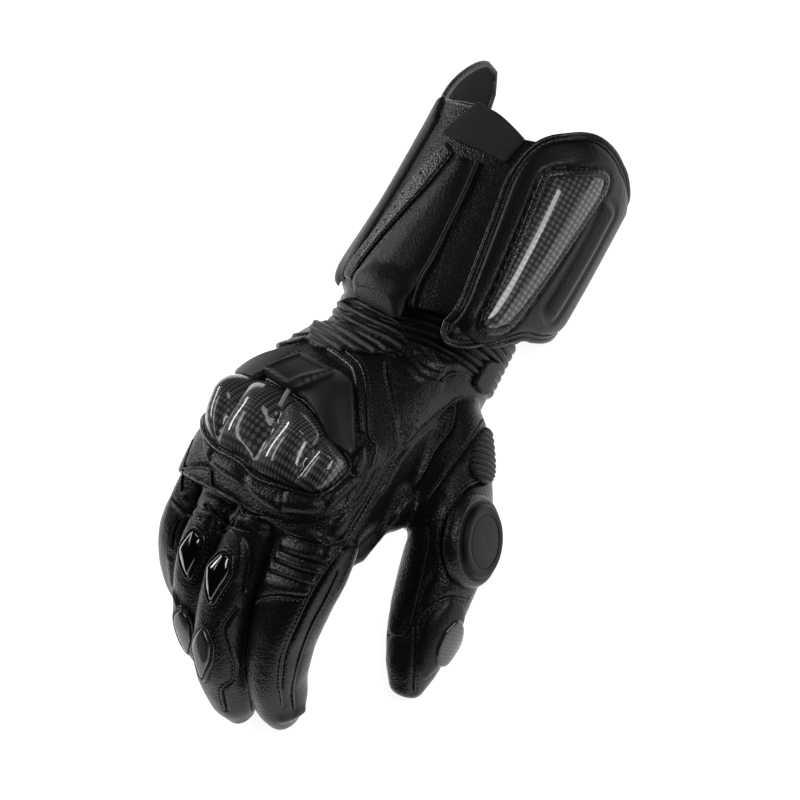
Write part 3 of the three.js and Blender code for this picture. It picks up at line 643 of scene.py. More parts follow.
# The pale colours of these weaves are painted sheen of the tows.
guard_weave = lacquered("guard_weave", 760, (0.0015, 0.0015, 0.002), (0.11, 0.112, 0.118))
plate_weave = lacquered("plate_weave", 400, (0.0015, 0.0015, 0.002), (0.1, 0.102, 0.108), 0.07)
insert_weave = lacquered("insert_weave", 620, (0.0015, 0.0015, 0.002), (0.02, 0.021, 0.022), 0.06)
shield_plastic = moulded("shield_plastic", (0.011, 0.011, 0.0115), 0.45, gloss=0.35)
disc_plastic = moulded("disc_plastic", (0.005, 0.005, 0.0055), 0.48, gloss=0.15)
slider_plastic = moulded("slider_plastic", (0.003, 0.003, 0.0035), 0.12, strength=0.03, coat=1.0)
# The strut's pale grey is a painted reflection of a glossy line.
strut_painted_reflection = moulded("strut_painted_reflection_look", (0.3, 0.3, 0.31), 0.35)
stretch_knit = knitted("stretch_knit", (0.009, 0.009, 0.01), 900, sheen=0.06)
# Near-black: painted shade for the insides of punched holes.
hole_painted_shade = moulded("hole_painted_shade", (0.0008, 0.0008, 0.0008), 0.9)
thread = spun("thread", (0.035, 0.035, 0.037))

# Making pieces


def store(name, bm, looks, body="root", sharp=40, slot=None, edge=None, replaces=()):
    """Makes an object of a bmesh in millimetres, smooth but for edges sharper than some degrees."""
    mesh = bpy.data.meshes.new(name)
    bm.to_mesh(mesh)
    bm.free()
    return store_mesh(name, mesh, looks, body, sharp, slot, edge, replaces)


def store_mesh(name, mesh, looks, body="root", sharp=40, slot=None, edge=None, replaces=()):
    mesh.transform(Matrix.Scale(MM, 4))
    for look in looks if isinstance(looks, list) else [looks]:
        mesh.materials.append(look)
    mesh.polygons.foreach_set("use_smooth", [True] * len(mesh.polygons))
    if sharp:
        mesh.set_sharp_from_angle(angle=sharp * DEG)
    if edge is not None:
        attribute = mesh.attributes.new("edge", "FLOAT", "POINT")
        attribute.data.foreach_set("value", np.asarray(edge, np.float32))
    mesh.update()
    made = bpy.data.objects.new(name, mesh)
    bpy.context.scene.collection.objects.link(made)
    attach(made, body)
    if replaces:
        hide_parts(*replaces)
    return made


def coordinates(mesh):
    co = np.zeros(len(mesh.vertices) * 3, np.float32)
    mesh.vertices.foreach_get("co", co)
    return co.reshape(-1, 3).astype(float)


def move_verts(bm, points):
    for vert, point in zip(bm.verts, points):
        vert.co = point


def wrapped_grid(place, around, rows):
    """A closed tube: place(angle, row) for every corner of a grid; its ends are poles or meet each other."""
    bm = bmesh.new()
    bmesh.ops.create_grid(bm, x_segments=around, y_segments=rows, size=0.5)
    co = np.array([v.co for v in bm.verts])
    turn = np.round((co[:, 0] + 0.5) * around) % around
    points = place(turn / around * 360 - 180, np.round((co[:, 1] + 0.5) * rows).astype(int))
    move_verts(bm, points)
    bmesh.ops.remove_doubles(bm, verts=bm.verts, dist=1e-4)
    bmesh.ops.recalc_face_normals(bm, faces=bm.faces)
    return bm


def lathe_rows(skin, rows, around):
    """A tube on a skin through rows of (share, inset, fullness); fullness 0 is a pole on the axis."""
    table = np.array(rows, float)

    def place(angle, row):
        share, inset, full = table[row].T
        rim = skin.flat(share, angle, inset)
        middle = (skin.flat(share, 0, inset) + skin.flat(share, 180, inset)) / 2
        return mix(middle, rim, full[:, None])

    return wrapped_grid(place, around, len(rows) - 1)


def nearest_on(points, polygon, closed=True):
    """For each point the distance to a polygon's outline and the nearest point on it."""
    starts = polygon if closed else polygon[:-1]
    ends = np.roll(polygon, -1, 0) if closed else polygon[1:]
    legs = ends - starts
    long = (legs**2).sum(1) + 1e-12
    best = np.full(len(points), 1e9)
    foot = np.zeros_like(points)
    for start, leg, size in zip(starts, legs, long):
        t = np.clip((points - start) @ leg / size, 0, 1)
        spot = start + t[:, None] * leg
        off = np.linalg.norm(points - spot, axis=1)
        closer = off < best
        best[closer] = off[closer]
        foot[closer] = spot[closer]
    return best, foot


def inside(points, polygon):
    odd = np.zeros(len(points), bool)
    for (x0, y0), (x1, y1) in zip(polygon, np.roll(polygon, -1, 0)):
        crosses = (y0 > points[:, 1]) != (y1 > points[:, 1])
        with np.errstate(divide="ignore", invalid="ignore"):
            at = (x1 - x0) * (points[:, 1] - y0) / (y1 - y0) + x0
        odd ^= crosses & (points[:, 0] < at)
    return odd


def rounded(corners, radius):
    """A closed outline with its corners rounded."""
    corners = np.array(corners, float)
    radii = radius if isinstance(radius, (list, tuple)) else [radius] * len(corners)
    out = []
    for i, corner in enumerate(corners):
        before, after = corners[i - 1] - corner, corners[(i + 1) % len(corners)] - corner
        r = radii[i]
        p = corner + before * min(0.48, r / (np.linalg.norm(before) + 1e-9))
        q = corner + after * min(0.48, r / (np.linalg.norm(after) + 1e-9))
        for t in np.linspace(0, 1, 7):
            out.append((1 - t) ** 2 * p + 2 * t * (1 - t) * corner + t * t * q)
    return np.array(out)


def rim(distance, height, radius, foot=0.3):
    """A rounded edge: from a share of the height at the outline to all of it a radius inside."""
    x = np.clip(distance / radius, 0, 1)
    return height * (foot + (1 - foot) * np.sqrt(1 - (1 - x) ** 2))


def panel(name, skin, outline, height, look, corner=2.5, base=0.6, step=0.8, lift=None, sink=0.0, **options):
    """A closed panel on a skin inside an outline of (share, angle).

    height(share, angle, distance) is its thickness, lift the height of its underside, and sink how far the
    underside is under that.
    """
    length, degree = skin.axis.total, skin.degree
    flat = rounded(skin.unrolled(*np.transpose(outline)), corner)
    low, high = flat.min(0) - step * 0.5, flat.max(0) + step * 0.5
    columns, rows = np.ceil((high - low) / step).astype(int)
    bm = bmesh.new()
    bmesh.ops.create_grid(bm, x_segments=int(columns), y_segments=int(rows), size=0.5)
    for v in bm.verts:
        v.co = (low[0] + (v.co.x + 0.5) * (high[0] - low[0]), low[1] + (v.co.y + 0.5) * (high[1] - low[1]), 0)
    centres = np.array([f.calc_center_median()[:2] for f in bm.faces])
    keep = inside(centres, flat)
    bmesh.ops.delete(bm, geom=[f for f, k in zip(bm.faces[:], keep) if not k], context="FACES")
    loose = [v for v in bm.verts if len(v.link_faces) == 0]
    bmesh.ops.delete(bm, geom=loose, context="VERTS")
    border = [v for v in bm.verts if v.is_boundary]
    _, feet = nearest_on(np.array([v.co[:2] for v in border]), flat)
    for v, foot in zip(border, feet):
        v.co = (foot[0], foot[1], 0)
    bmesh.ops.smooth_vert(bm, verts=[v for v in bm.verts if not v.is_boundary], factor=0.5,
                          use_axis_x=True, use_axis_y=True, use_axis_z=False)
    made = bmesh.ops.extrude_face_region(bm, geom=bm.faces[:], use_keep_orig=True)
    for v in made["geom"]:
        if isinstance(v, bmesh.types.BMVert):
            v.co.z = 1
    co = np.array([v.co for v in bm.verts])
    distance, _ = nearest_on(co[:, :2], flat)
    share, angle = co[:, 1] / length, co[:, 0] / degree
    under = np.full(len(co), base) if lift is None else base + lift(share, angle, distance)
    top = co[:, 2] > 0.5
    out = np.where(top, under + height(share, angle, distance), under - sink)
    uv = bm.loops.layers.uv.new("surface")
    for face in bm.faces:
        for loop in face.loops:
            loop[uv].uv = (loop.vert.co.x * MM, loop.vert.co.y * MM)
    move_verts(bm, skin.at(share, angle, out))
    bmesh.ops.recalc_face_normals(bm, faces=bm.faces)
    edge = np.where(top, np.exp(-distance / 1.3), 0.3)
    return store(name, bm, look, edge=edge, **options)


def resample(points, spacing):
    points = np.asarray(points, float)
    steps = np.linalg.norm(np.diff(points, axis=0), axis=1)
    total = np.concatenate([[0], np.cumsum(steps)])
    count = max(2, int(round(total[-1] / spacing)) + 1)
    at = np.linspace(0, total[-1], count)
    return np.stack([np.interp(at, total, points[:, k]) for k in range(points.shape[1])], -1)


def curved(points, closed=False, per=8):
    """A smooth curve through points."""
    p = np.asarray(points, float)
    n = len(p)
    out = []
    for i in range(n if closed else n - 1):
        a, b = p[i], p[(i + 1) % n]
        before = p[i - 1] if closed or i else a
        after = p[(i + 2) % n] if closed or i + 2 < n else b
        for t in np.arange(per) / per:
            slope_in, slope_out = (b - before) / 2, (after - a) / 2
            t2, t3 = t * t, t * t * t
            out.append((2 * t3 - 3 * t2 + 1) * a + (t3 - 2 * t2 + t) * slope_in
                       + (3 * t2 - 2 * t3) * b + (t3 - t2) * slope_out)
    if not closed:
        out.append(p[-1])
    return np.array(out)


def across(points, normals):
    """The way to one side of a line, at each of its points."""
    way = np.cross(np.gradient(points, axis=0), normals)
    return way / (np.linalg.norm(way, axis=1, keepdims=True) + 1e-9)


class Leather:
    """The leather that lines of sight meet, and that the seams and trims are laid on."""

    def __init__(self, meshes, scale=1.0):
        verts, faces = [], []
        for mesh in meshes:
            start = len(verts)
            verts.extend((coordinates(mesh) * scale).tolist())
            faces.extend([[start + i for i in poly.vertices] for poly in mesh.polygons])
        self.tree = BVHTree.FromPolygons(verts, faces)

    def hit(self, pixel):
        start, way = sight(pixel)
        spot, normal, _, _ = self.tree.ray_cast(Vector(start), Vector(way))
        if spot is None:
            return None
        normal = np.array(normal)
        return np.array(spot), normal if normal @ BACK > 0 else -normal

    def trace(self, pixels, spacing=0.8, smooth=True, closed=False, soft=2):
        """Points and outward directions along a line drawn over the picture."""
        line = curved(pixels, closed) if smooth else np.asarray(pixels, float)
        if closed:
            line = np.vstack([line, line[:1]])
        hits = [self.hit(p) for p in resample(line, 1.2)]
        hits = [h for h in hits if h is not None]
        points, normals = np.array([h[0] for h in hits]), np.array([h[1] for h in hits])
        for _ in range(soft):
            points[1:-1] = (points[:-2] + 2 * points[1:-1] + points[2:]) / 4
            normals[1:-1] = (normals[:-2] + 2 * normals[1:-1] + normals[2:]) / 4
        joined = resample(np.hstack([points, normals]), spacing)
        normals = joined[:, 3:]
        return joined[:, :3], normals / np.linalg.norm(normals, axis=1, keepdims=True)


def cords(name, runs, look, **options):
    """Round cords: each run has points, a radius and whether it closes."""
    data = bpy.data.curves.new(name, "CURVE")
    data.dimensions = "3D"
    data.bevel_depth = 1
    data.bevel_resolution = 2
    data.use_fill_caps = True
    for points, radius, closed in runs:
        if closed:
            points = points[:-1]
        spline = data.splines.new("POLY")
        spline.points.add(len(points) - 1)
        for spot, point, size in zip(spline.points, points, np.broadcast_to(radius, len(points))):
            spot.co = (*point, 1)
            spot.radius = size
        spline.use_cyclic_u = closed
    holder = bpy.data.objects.new(name, data)
    mesh = bpy.data.meshes.new_from_object(holder)
    bpy.data.objects.remove(holder)
    mesh.name = name
    mesh.materials.clear()
    return store_mesh(name, mesh, look, **options)


def stitches(name, runs, look, pitch=2.6, long=1.9, thick=0.42, sink=0.1, **options):
    """Rows of stitches: each a small spindle along its run."""
    bm = bmesh.new()
    for points, normals in runs:
        line = resample(np.hstack([points, normals]), pitch)
        for a, b in zip(line[:-1], line[1:]):
            along = Vector(b[:3] - a[:3])
            if along.length < 0.3 * pitch or along.length > 2 * pitch:
                continue
            along.normalize()
            out = Vector(a[3:] + b[3:]).normalized()
            side = along.cross(out).normalized()
            out = side.cross(along)
            middle = Vector((a[:3] + b[:3]) / 2) + out * (thick * 0.5 - sink)
            turn = Matrix((along, side, out)).transposed().to_4x4()
            size = Matrix.Diagonal((long / 2, thick, thick, 1))
            bmesh.ops.create_icosphere(bm, subdivisions=1, radius=1,
                                       matrix=Matrix.Translation(middle) @ turn @ size)
    return store(name, bm, look, sharp=None, **options)


def turned(name, centre, axis, profile, look, around=96, **options):
    """A piece turned about its own axis, from rows of (radius, height)."""
    out = Vector(axis).normalized()
    side = np.array(out.orthogonal().normalized())
    out = np.array(out)
    other = np.cross(out, side)
    table = np.array(profile, float)

    def place(angle, row):
        radius, height = table[row].T
        spoke = side * np.cos(angle * DEG)[:, None] + other * np.sin(angle * DEG)[:, None]
        return centre + spoke * radius[:, None] + out * height[:, None]

    return store(name, wrapped_grid(place, around, len(profile) - 1), look, **options)


def inset_run(skin, outline, corner, inset, out, spacing=0.8):
    """A closed line a little inside a panel's outline, on its top, with outward directions."""
    long, wide = skin.axis.total, skin.degree
    flat = rounded(skin.unrolled(*np.transpose(outline)), corner)
    flat = resample(np.vstack([flat, flat[:1]]), spacing)[:-1]
    tangent = np.roll(flat, -1, 0) - np.roll(flat, 1, 0)
    normal = np.stack([-tangent[:, 1], tangent[:, 0]], -1)
    normal /= np.linalg.norm(normal, axis=1, keepdims=True) + 1e-9
    if inside(flat + normal * 0.5, flat).mean() < 0.5:
        normal = -normal
    moved = flat + normal * inset
    s, a = moved[:, 1] / long, moved[:, 0] / wide
    points = skin.at(s, a, out(s, a, np.full(len(s), float(inset))))
    normals = skin.normal(s, a)
    return np.vstack([points, points[:1]]), np.vstack([normals, normals[:1]])


def open_run(skin, places, out, spacing=0.8):
    """An open line through places of (share, angle) on a skin, with outward directions."""
    long, wide = skin.axis.total, skin.degree
    flat = resample(curved(skin.unrolled(*np.transpose(places))), spacing)
    s, a = flat[:, 1] / long, flat[:, 0] / wide
    return skin.at(s, a, np.full(len(s), float(out))), skin.normal(s, a)


def dots(name, spots, look, radius=0.55, flat=0.35, **options):
    """Punched holes: small pits sunk in the leather, painted near-black as the shade inside them."""
    bm = bmesh.new()
    for point, normal in spots:
        out = Vector(normal).normalized()
        side = out.orthogonal().normalized()
        turn = Matrix((side, out.cross(side), out)).transposed().to_4x4()
        size = Matrix.Diagonal((radius, radius, radius * flat, 1))
        bmesh.ops.create_icosphere(bm, subdivisions=2, radius=1,
                                   matrix=Matrix.Translation(Vector(point)) @ turn @ size)
    return store(name, bm, look, sharp=None, **options)


# The hand: one skin of leather over the palm, the index and ring fingers and the thumb


def tube_rows(start, end, count, tip=0.02, inset=0.0):
    """A finger from its root to its closed tip."""
    rows = [(start, inset, 0), (start, inset, 0.6)]
    rows += [(s, inset, 1) for s in np.linspace(start, end, count)]
    rows += [(end + tip * 0.5, inset, 0.88), (end + tip * 0.85, inset, 0.6), (end + tip, inset, 0.3),
             (end + tip, inset, 0)]
    return rows


def cup_rows():
    """The hand from its closed end to the wrist outside, and back inside."""
    rows = [(1.0, 0, 0), (1.0, 0, 0.6)]
    rows += [(s, 0, 1) for s in np.linspace(1.0, -0.02, 40)]
    rows += [(s, WALL, 1) for s in np.linspace(-0.02, 0.8, 20)]
    rows += [(0.82, WALL, 0.5), (0.82, WALL, 0)]
    return rows


def fused(parts, voxel, rounds):
    """Joins closed tubes into one skin and softens the creases between them."""
    whole = bmesh.new()
    for bm in parts:
        mesh = bpy.data.meshes.new("part")
        bm.to_mesh(mesh)
        bm.free()
        whole.from_mesh(mesh)
        bpy.data.meshes.remove(mesh)
    mesh = bpy.data.meshes.new("fused")
    whole.to_mesh(mesh)
    whole.free()
    holder = bpy.data.objects.new("fused", mesh)
    bpy.context.scene.collection.objects.link(holder)
    remesh = holder.modifiers.new("voxels", "REMESH")
    remesh.mode = "VOXEL"
    remesh.voxel_size = voxel
    remesh.use_smooth_shade = True
    soften = holder.modifiers.new("soften", "SMOOTH")
    soften.factor = 0.5
    soften.iterations = rounds
    graph = bpy.context.evaluated_depsgraph_get()
    made = bpy.data.meshes.new_from_object(holder.evaluated_get(graph))
    bpy.data.objects.remove(holder)
    return made


def vertex_normals(mesh):
    n = np.zeros(len(mesh.vertices) * 3, np.float32)
    mesh.vertices.foreach_get("normal", n)
    return n.reshape(-1, 3).astype(float)


def sculpt(mesh, features):
    """Pushes the skin out or in along lines: each has points, a height, a half width and a form."""
    co, normals = coordinates(mesh), vertex_normals(mesh)
    push = np.zeros(len(co))
    for points, height, half, form in features:
        reach = 3 * half
        near = ((co > points.min(0) - reach) & (co < points.max(0) + reach)).all(1)
        if not near.any():
            continue
        off, foot = nearest_on(co[near], points, closed=False)
        fall = np.exp(-((off / half) ** 2))
        if form == "step":  # one side stands higher, as a lapped edge
            across = np.cross(np.gradient(points, axis=0).mean(0), normals[near].mean(0))
            side = np.sign(((co[near] - foot) * across).sum(1))
            fall = fall * side
        push[near] += height * fall
    co += normals * push[:, None]
    co[:, 2] = np.maximum(co[:, 2], 0.05)
    mesh.vertices.foreach_set("co", co.astype(np.float32).ravel())
    mesh.update()


def web_of_thumb():
    """The gusset that fills the corner between the index finger and the thumb."""
    depth = (index.axis.at(0.1)[0] + thumb.axis.at(0.25)[0] - 2 * AIM) @ BACK / 2
    along = -0.622 * RIGHT - 0.783 * UP
    turn = Matrix((along, np.cross(BACK, along), BACK)).transposed().to_4x4()
    bm = bmesh.new()
    for pixel, long, wide in (((363, 525), 25, 9.8), ((394, 507), 12, 9)):
        start, way = sight(pixel)
        centre = start - way * ((start - AIM) @ BACK - depth) / (way @ BACK)
        bmesh.ops.create_icosphere(bm, subdivisions=4, radius=1,
                                   matrix=Matrix.Translation(Vector(centre)) @ turn
                                   @ Matrix.Diagonal((long, wide, 9, 1)))
    return bm


make_camera()

VOXEL, SMOOTH_ROUNDS = 1.1, 8
body_mesh = fused(
    [
        lathe_rows(hand, cup_rows(), 140),
        lathe_rows(index, tube_rows(0.1, 1, 50), 72),
        lathe_rows(ring, tube_rows(0.1, 1, 50), 72),
        lathe_rows(thumb, tube_rows(-0.04, 1, 60), 84),
        web_of_thumb(),
    ],
    VOXEL,
    SMOOTH_ROUNDS,
)


def sleeve_mesh(skin, around, rows):
    bm = lathe_rows(skin, tube_rows(0.1, 1, rows), around)
    mesh = bpy.data.meshes.new("sleeve")
    bm.to_mesh(mesh)
    bm.free()
    return mesh


middle_mesh = sleeve_mesh(middle, 110, 150)
little_mesh = sleeve_mesh(little, 96, 120)


bare = Leather([body_mesh, middle_mesh, little_mesh])
SEAMS = {
    "thumb_side": [(457, 400), (430, 424), (404, 449), (390, 471), (377, 494), (351, 537), (319, 581),
                   (301, 617), (286, 653), (281, 690)],
    "palm_side": [(457, 400), (452, 427), (435, 451), (420, 479), (390, 519), (372, 545)],
    "thumb_root": [(486, 420), (455, 463), (428, 500)],
    "back_panel": [(387, 362), (388, 378), (394, 412), (403, 448)],
    "back_panel_low": [(403, 450), (386, 470), (366, 505), (344, 540)],
    "index_top": [(288, 535), (304, 541), (319, 544), (342, 539), (349, 531)],
    "index_low": [(256, 601), (262, 597), (280, 596), (306, 598)],
    "thumb_mesh": [(428, 519), (426, 548), (416, 587), (406, 633), (388, 634)],
    "thumb_tip": [(414, 692), (415, 650), (416, 621), (426, 608), (448, 597), (467, 599)],
    "middle_side": [(238, 608), (224, 628), (229, 649), (235, 665), (233, 680), (222, 690), (226, 710)],
    "middle_root": [(208, 505), (222, 520), (236, 528), (252, 532)],
    "ring_root": [(172, 500), (184, 512), (200, 518)],
    "far_side": [(200, 420), (190, 447), (183, 468), (181, 490)],
    "knuckle_far": [(184, 467), (209, 468), (212, 485), (226, 494), (240, 503), (245, 514), (267, 517),
                    (287, 524)],
    "knuckle_near": [(287, 524), (316, 522), (340, 514), (362, 496), (376, 470)],
    "strap_arc": [(441, 379), (452, 372), (468, 374), (477, 385)],
    "wrist_side": [(262, 352), (300, 342), (330, 332)],
    "collar_arc": [(484, 482), (467, 487), (448, 512), (441, 536), (446, 563), (463, 585)],
    "pad_arc": [(481, 481), (470, 486), (460, 495)],
    "index_panel": [(345, 545), (320, 580), (302, 614), (286, 649), (281, 674), (284, 706)],
    "little_rim": [(178, 521), (173, 532), (172, 545)],
    "slit_left": [(236, 504), (226, 516), (222, 530)],
    "slit_right": [(240, 508), (234, 522), (224, 532)],
}
STITCHED = ("thumb_side", "palm_side", "back_panel", "index_low", "thumb_tip", "middle_side", "thumb_root",
            "collar_arc")
FOLDS = [
    {"line": [(367, 455), (358, 485), (341, 524)], "height": 1.6, "half": 5.0},
    {"line": [(280, 552), (300, 560), (326, 566)], "height": -1.2, "half": 1.2},
    {"line": [(274, 563), (294, 571), (318, 577)], "height": -1.2, "half": 1.2},
    {"line": [(270, 573), (290, 580), (312, 586)], "height": -1.1, "half": 1.2},
    {"line": [(278, 557), (298, 565), (322, 571)], "height": 1.3, "half": 1.6},
    {"line": [(272, 568), (293, 575), (315, 582)], "height": 1.2, "half": 1.6},
    {"line": [(284, 546), (304, 552), (332, 556)], "height": 1.1, "half": 2.0},
    {"line": [(268, 583), (288, 589), (308, 591)], "height": 1.0, "half": 3.0},
    {"line": [(470, 455), (455, 472), (445, 490)], "height": 1.2, "half": 3.0},
    {"line": [(283, 719), (293, 716), (302, 710)], "height": 1.4, "half": 2.2},
    {"line": [(205, 505), (222, 512), (240, 520)], "height": 1.2, "half": 2.2},
    {"line": [(232, 530), (240, 550), (236, 575)], "height": 1.2, "half": 2.6},
    {"line": [(250, 520), (262, 528), (278, 530)], "height": 1.3, "half": 2.4},
    {"line": [(246, 540), (250, 560), (246, 590)], "height": -1.2, "half": 1.4},
    {"line": [(210, 520), (206, 540), (204, 556)], "height": -0.9, "half": 1.2},
    {"line": [(186, 500), (200, 508), (216, 512)], "height": -0.9, "half": 1.1},
    {"line": [(418, 352), (428, 362), (444, 368)], "height": 1.2, "half": 1.3},
    {"line": [(414, 360), (424, 370), (444, 376)], "height": 1.2, "half": 1.3},
    {"line": [(412, 368), (420, 378), (440, 384)], "height": 1.1, "half": 1.3},
    {"line": [(432, 352), (440, 362), (456, 366)], "height": 1.1, "half": 1.3},
    {"line": [(170, 560), (172, 585), (178, 606)], "height": 0.9, "half": 2.0},
    {"line": [(440, 505), (430, 520), (424, 545)], "height": 1.0, "half": 2.2},
    {"line": [(433, 575), (425, 590), (420, 605)], "height": -0.8, "half": 1.4},
    {"line": [(395, 515), (380, 535), (362, 560)], "height": 0.8, "half": 2.6},
    {"line": [(415, 430), (398, 460), (385, 490)], "height": 0.9, "half": 3.6},
    {"line": [(345, 500), (330, 530), (322, 556)], "height": -0.7, "half": 1.6},
]
# Side seams of the fingers and the thumb, and the seams of the palm, as a share and an angle on their skins
HIDDEN_SEAMS = [
    (index, [(0.2, 84), (0.5, 88), (0.9, 92)]),
    (index, [(0.3, -92), (0.6, -94), (0.92, -94)]),
    (ring, [(0.3, 94), (0.6, 94), (0.92, 94)]),
    (ring, [(0.3, -92), (0.6, -94), (0.92, -94)]),
    (middle, [(0.2, 96), (0.6, 98), (0.95, 98)]),
    (middle, [(0.2, -96), (0.6, -98), (0.95, -98)]),
    (little, [(0.15, -100), (0.5, -102), (0.95, -104)]),
    (little, [(0.15, 96), (0.6, 98), (0.95, 98)]),
    (hand, [(0.05, -100), (0.4, -98), (0.8, -96)]),
    (hand, [(0.3, 150), (0.5, 165), (0.75, 200), (0.8, 235)]),
    (hand, [(0.2, 200), (0.45, 195), (0.8, 190)]),
    (thumb, [(0.1, -150), (0.5, -140), (0.95, -120)]),
]


def rumple(mesh):
    """Slow unevenness of leather that has been worn and put down."""
    co, normals = coordinates(mesh), vertex_normals(mesh)
    push = [0.45 * noise.noise(Vector(p) / 14) + 0.12 * noise.noise(Vector(p) / 5) for p in co]
    co += normals * np.array(push)[:, None]
    co[:, 2] = np.maximum(co[:, 2], 0.05)
    mesh.vertices.foreach_set("co", co.astype(np.float32).ravel())
    mesh.update()


for mesh in (body_mesh, middle_mesh, little_mesh):
    rumple(mesh)
features = []
seam_runs = {}
for label, line in SEAMS.items():
    if sum(bare.hit(pixel) is not None for pixel in line) < 2:
        continue
    points, normals = bare.trace(line)
    seam_runs[label] = (points, normals)
    features.append((points, -1.1, 0.9, "groove"))
hidden_runs = [open_run(skin, places, 0.0) for skin, places in HIDDEN_SEAMS]
for points, normals in hidden_runs:
    features.append((points, -0.9, 0.9, "groove"))
for row in FOLDS:
    if sum(bare.hit(pixel) is not None for pixel in row["line"]) < 2:
        continue
    features.append((bare.trace(row["line"])[0], row["height"], row["half"], "fold"))
for mesh in (body_mesh, middle_mesh, little_mesh):
    sculpt(mesh, features)

hand_leather = store_mesh("hand_leather", body_mesh, [body_leather], sharp=None, slot="leather",
                          replaces=("hand_back", "hand_palm", "finger_index", "finger_ring", "thumb"))
middle_leather = store_mesh("middle_leather", middle_mesh, [body_leather], sharp=None, slot="leather",
                            replaces=("finger_middle",))
little_leather = store_mesh("little_leather", little_mesh, [body_leather], sharp=None, slot="leather",
                            replaces=("finger_little",))


# The gauntlet


def cuff_wall(t, angle):
    """Points round the wall's section: hem to wrist outside, and back inside."""
    hem, wrist = hem_share(angle), 1 - 6.5 * np.cos((angle - 110) * DEG) / CUFF_LENGTH
    outside = t < 0.5
    along = np.where(outside, t * 2, 2 - t * 2)
    inset = np.where(outside, 0.0, CUFF_WALL)
    wrist = wrist - 0.3 * hill(angle, 130, 40)
    share = hem + (wrist - hem) * along
    return cuff.flat(share, angle, inset)


CUFF_ROWS = 240
cuff_bm = wrapped_grid(lambda angle, row: cuff_wall((row % CUFF_ROWS) / CUFF_ROWS, angle), 260, CUFF_ROWS)
for face in cuff_bm.faces:
    centre = face.calc_center_median()
    middle_point = Vector(cuff_axis.at((CUFF_START[1] - centre.y) / CUFF_LENGTH)[0])
    away = centre - middle_point
    face.material_index = 1 if face.normal.dot(Vector((away.x, 0, away.z))) < 0 else 0
cuff_leather = store("cuff_leather", cuff_bm, [body_leather, lining], slot="leather",
                     replaces=("cuff_shell",))


def plain(thickness, radius=1.6):
    return lambda s, a, d: rim(d, thickness, radius)


pad_line = cuff.seen([(353, 282), (384, 238), (428, 185), (455, 154), (469, 156), (472, 166), (453, 217),
                      (426, 264), (406, 300), (402, 317), (394, 319), (376, 309), (354, 297)], 3)


def pad_height(s, a, d):
    return 0.8 + 2.6 * (1 - np.exp(-d / 4.0))


cuff_pad = panel("cuff_pad", cuff, pad_line, pad_height, smooth_leather, corner=4, slot="leather",
                 lift=lambda s, a, d: 2.6 * ease(s, 0.84, 1.0), sink=0.3,
                 replaces=("cuff_back_pad",))

strip_line = cuff.seen([(343, 277), (351, 280), (377, 238), (427, 183), (452, 152), (446, 140), (412, 175),
                        (369, 235)],
                       1.5)
vent_spots = cuff.seen([(440, 151), (431, 161), (420, 172), (410, 187), (402, 193), (394, 206), (384, 219),
                        (376, 230), (367, 242), (358, 254)], 2)


def strip_height(s, a, d):
    return rim(d, 0.9, 1.0)


panel("vent_strip", cuff, strip_line, strip_height, edge_leather, corner=1.5, step=0.45, slot="leather",
      replaces=("cuff_vent_strip",))

stretch_line = [(0.06, 21), (-0.08, -7), (0.12, -20), (0.2, 17)]
panel("stretch_panel", cuff, stretch_line, plain(0.8, 1.2), stretch_knit, corner=1.5, slot="textile",
      replaces=("cuff_stretch_panel",))

# The welt down the far side: a folded edge that ends in a point at the wrist
welt_line = [(-0.1, -40), (0.05, -31), (0.5, -35), (0.9, -37), (0.95, -44), (0.965, -62), (0.9, -64),
             (0.5, -53), (0.05, -50), (-0.1, -52)]


def welt_lift(s, a, d):
    return 1.4 * ease(s, 0.6, 0.95) * ease(a, -45, -60)


panel("edge_welt", cuff, welt_line, lambda s, a, d: 0.3 + 1.2 * (1 - np.exp(-d / 1.5)), smooth_leather,
      corner=2, base=0.3, step=0.6, lift=welt_lift, sink=0.4, slot="leather", replaces=("cuff_welt",))

# The closure flap
flap_line = [(1.13, 42), (0.7, 31), (0.23, 22), (0.03, 28), (-0.115, 58), (-0.11, 84), (-0.03, 105),
             (-0.01, 124), (0.71, 124), (0.78, 110), (0.88, 86), (1.06, 66)]
FLAP_CORNER = 9
plate_line = cuff.seen([(542, 172), (550, 168), (605, 169), (613, 178), (609, 193), (542, 292), (516, 327),
                        (500, 338), (480, 335), (477, 322)], 6)
plate_flat = rounded(cuff.unrolled(*np.transpose(plate_line)), 4)
flap_flat = rounded(cuff.unrolled(*np.transpose(flap_line)), FLAP_CORNER)
ridge_line = cuff.seen([(612, 214), (592, 252), (556, 313)], 6)
ridge_flat = cuff.unrolled(*np.transpose(ridge_line))


def flap_lift(s, a, d):
    return 2.0 * ease(s, 0.7, 1.1)


def flap_height(s, a, d):
    flat = cuff.unrolled(s, a)
    off, _ = nearest_on(flat, plate_flat)
    within = inside(flat, plate_flat)
    made = 1.2 + 2.9 * (1 - np.exp(-np.maximum(d - 1.5, 0) / 4.0))
    made = made - 1.2 * np.exp(-(((d - 3.0) / 0.8) ** 2))
    made = made - np.where(within, 1.0 * (1 - np.exp(-off / 1.5)), 1.0 * np.exp(-(((off - 0.6) / 1.0) ** 2)))
    side, _ = nearest_on(flat, ridge_flat, closed=False)
    made = made + 1.5 * np.exp(-((side / 2.2) ** 2)) - 0.8 * np.exp(-(((side - 4.4) / 1.2) ** 2))
    return np.maximum(made, 0.7)


def flap_top(s, a, d):
    """How far the flap's face stands off the gauntlet."""
    return 0.8 + flap_lift(s, a, d) + flap_height(s, a, d)


closure_flap = panel("closure_flap", cuff, flap_line, flap_height, smooth_leather, corner=FLAP_CORNER,
                     base=0.8, lift=flap_lift, slot="leather", replaces=("cuff_flap", "flap_side_panel"))


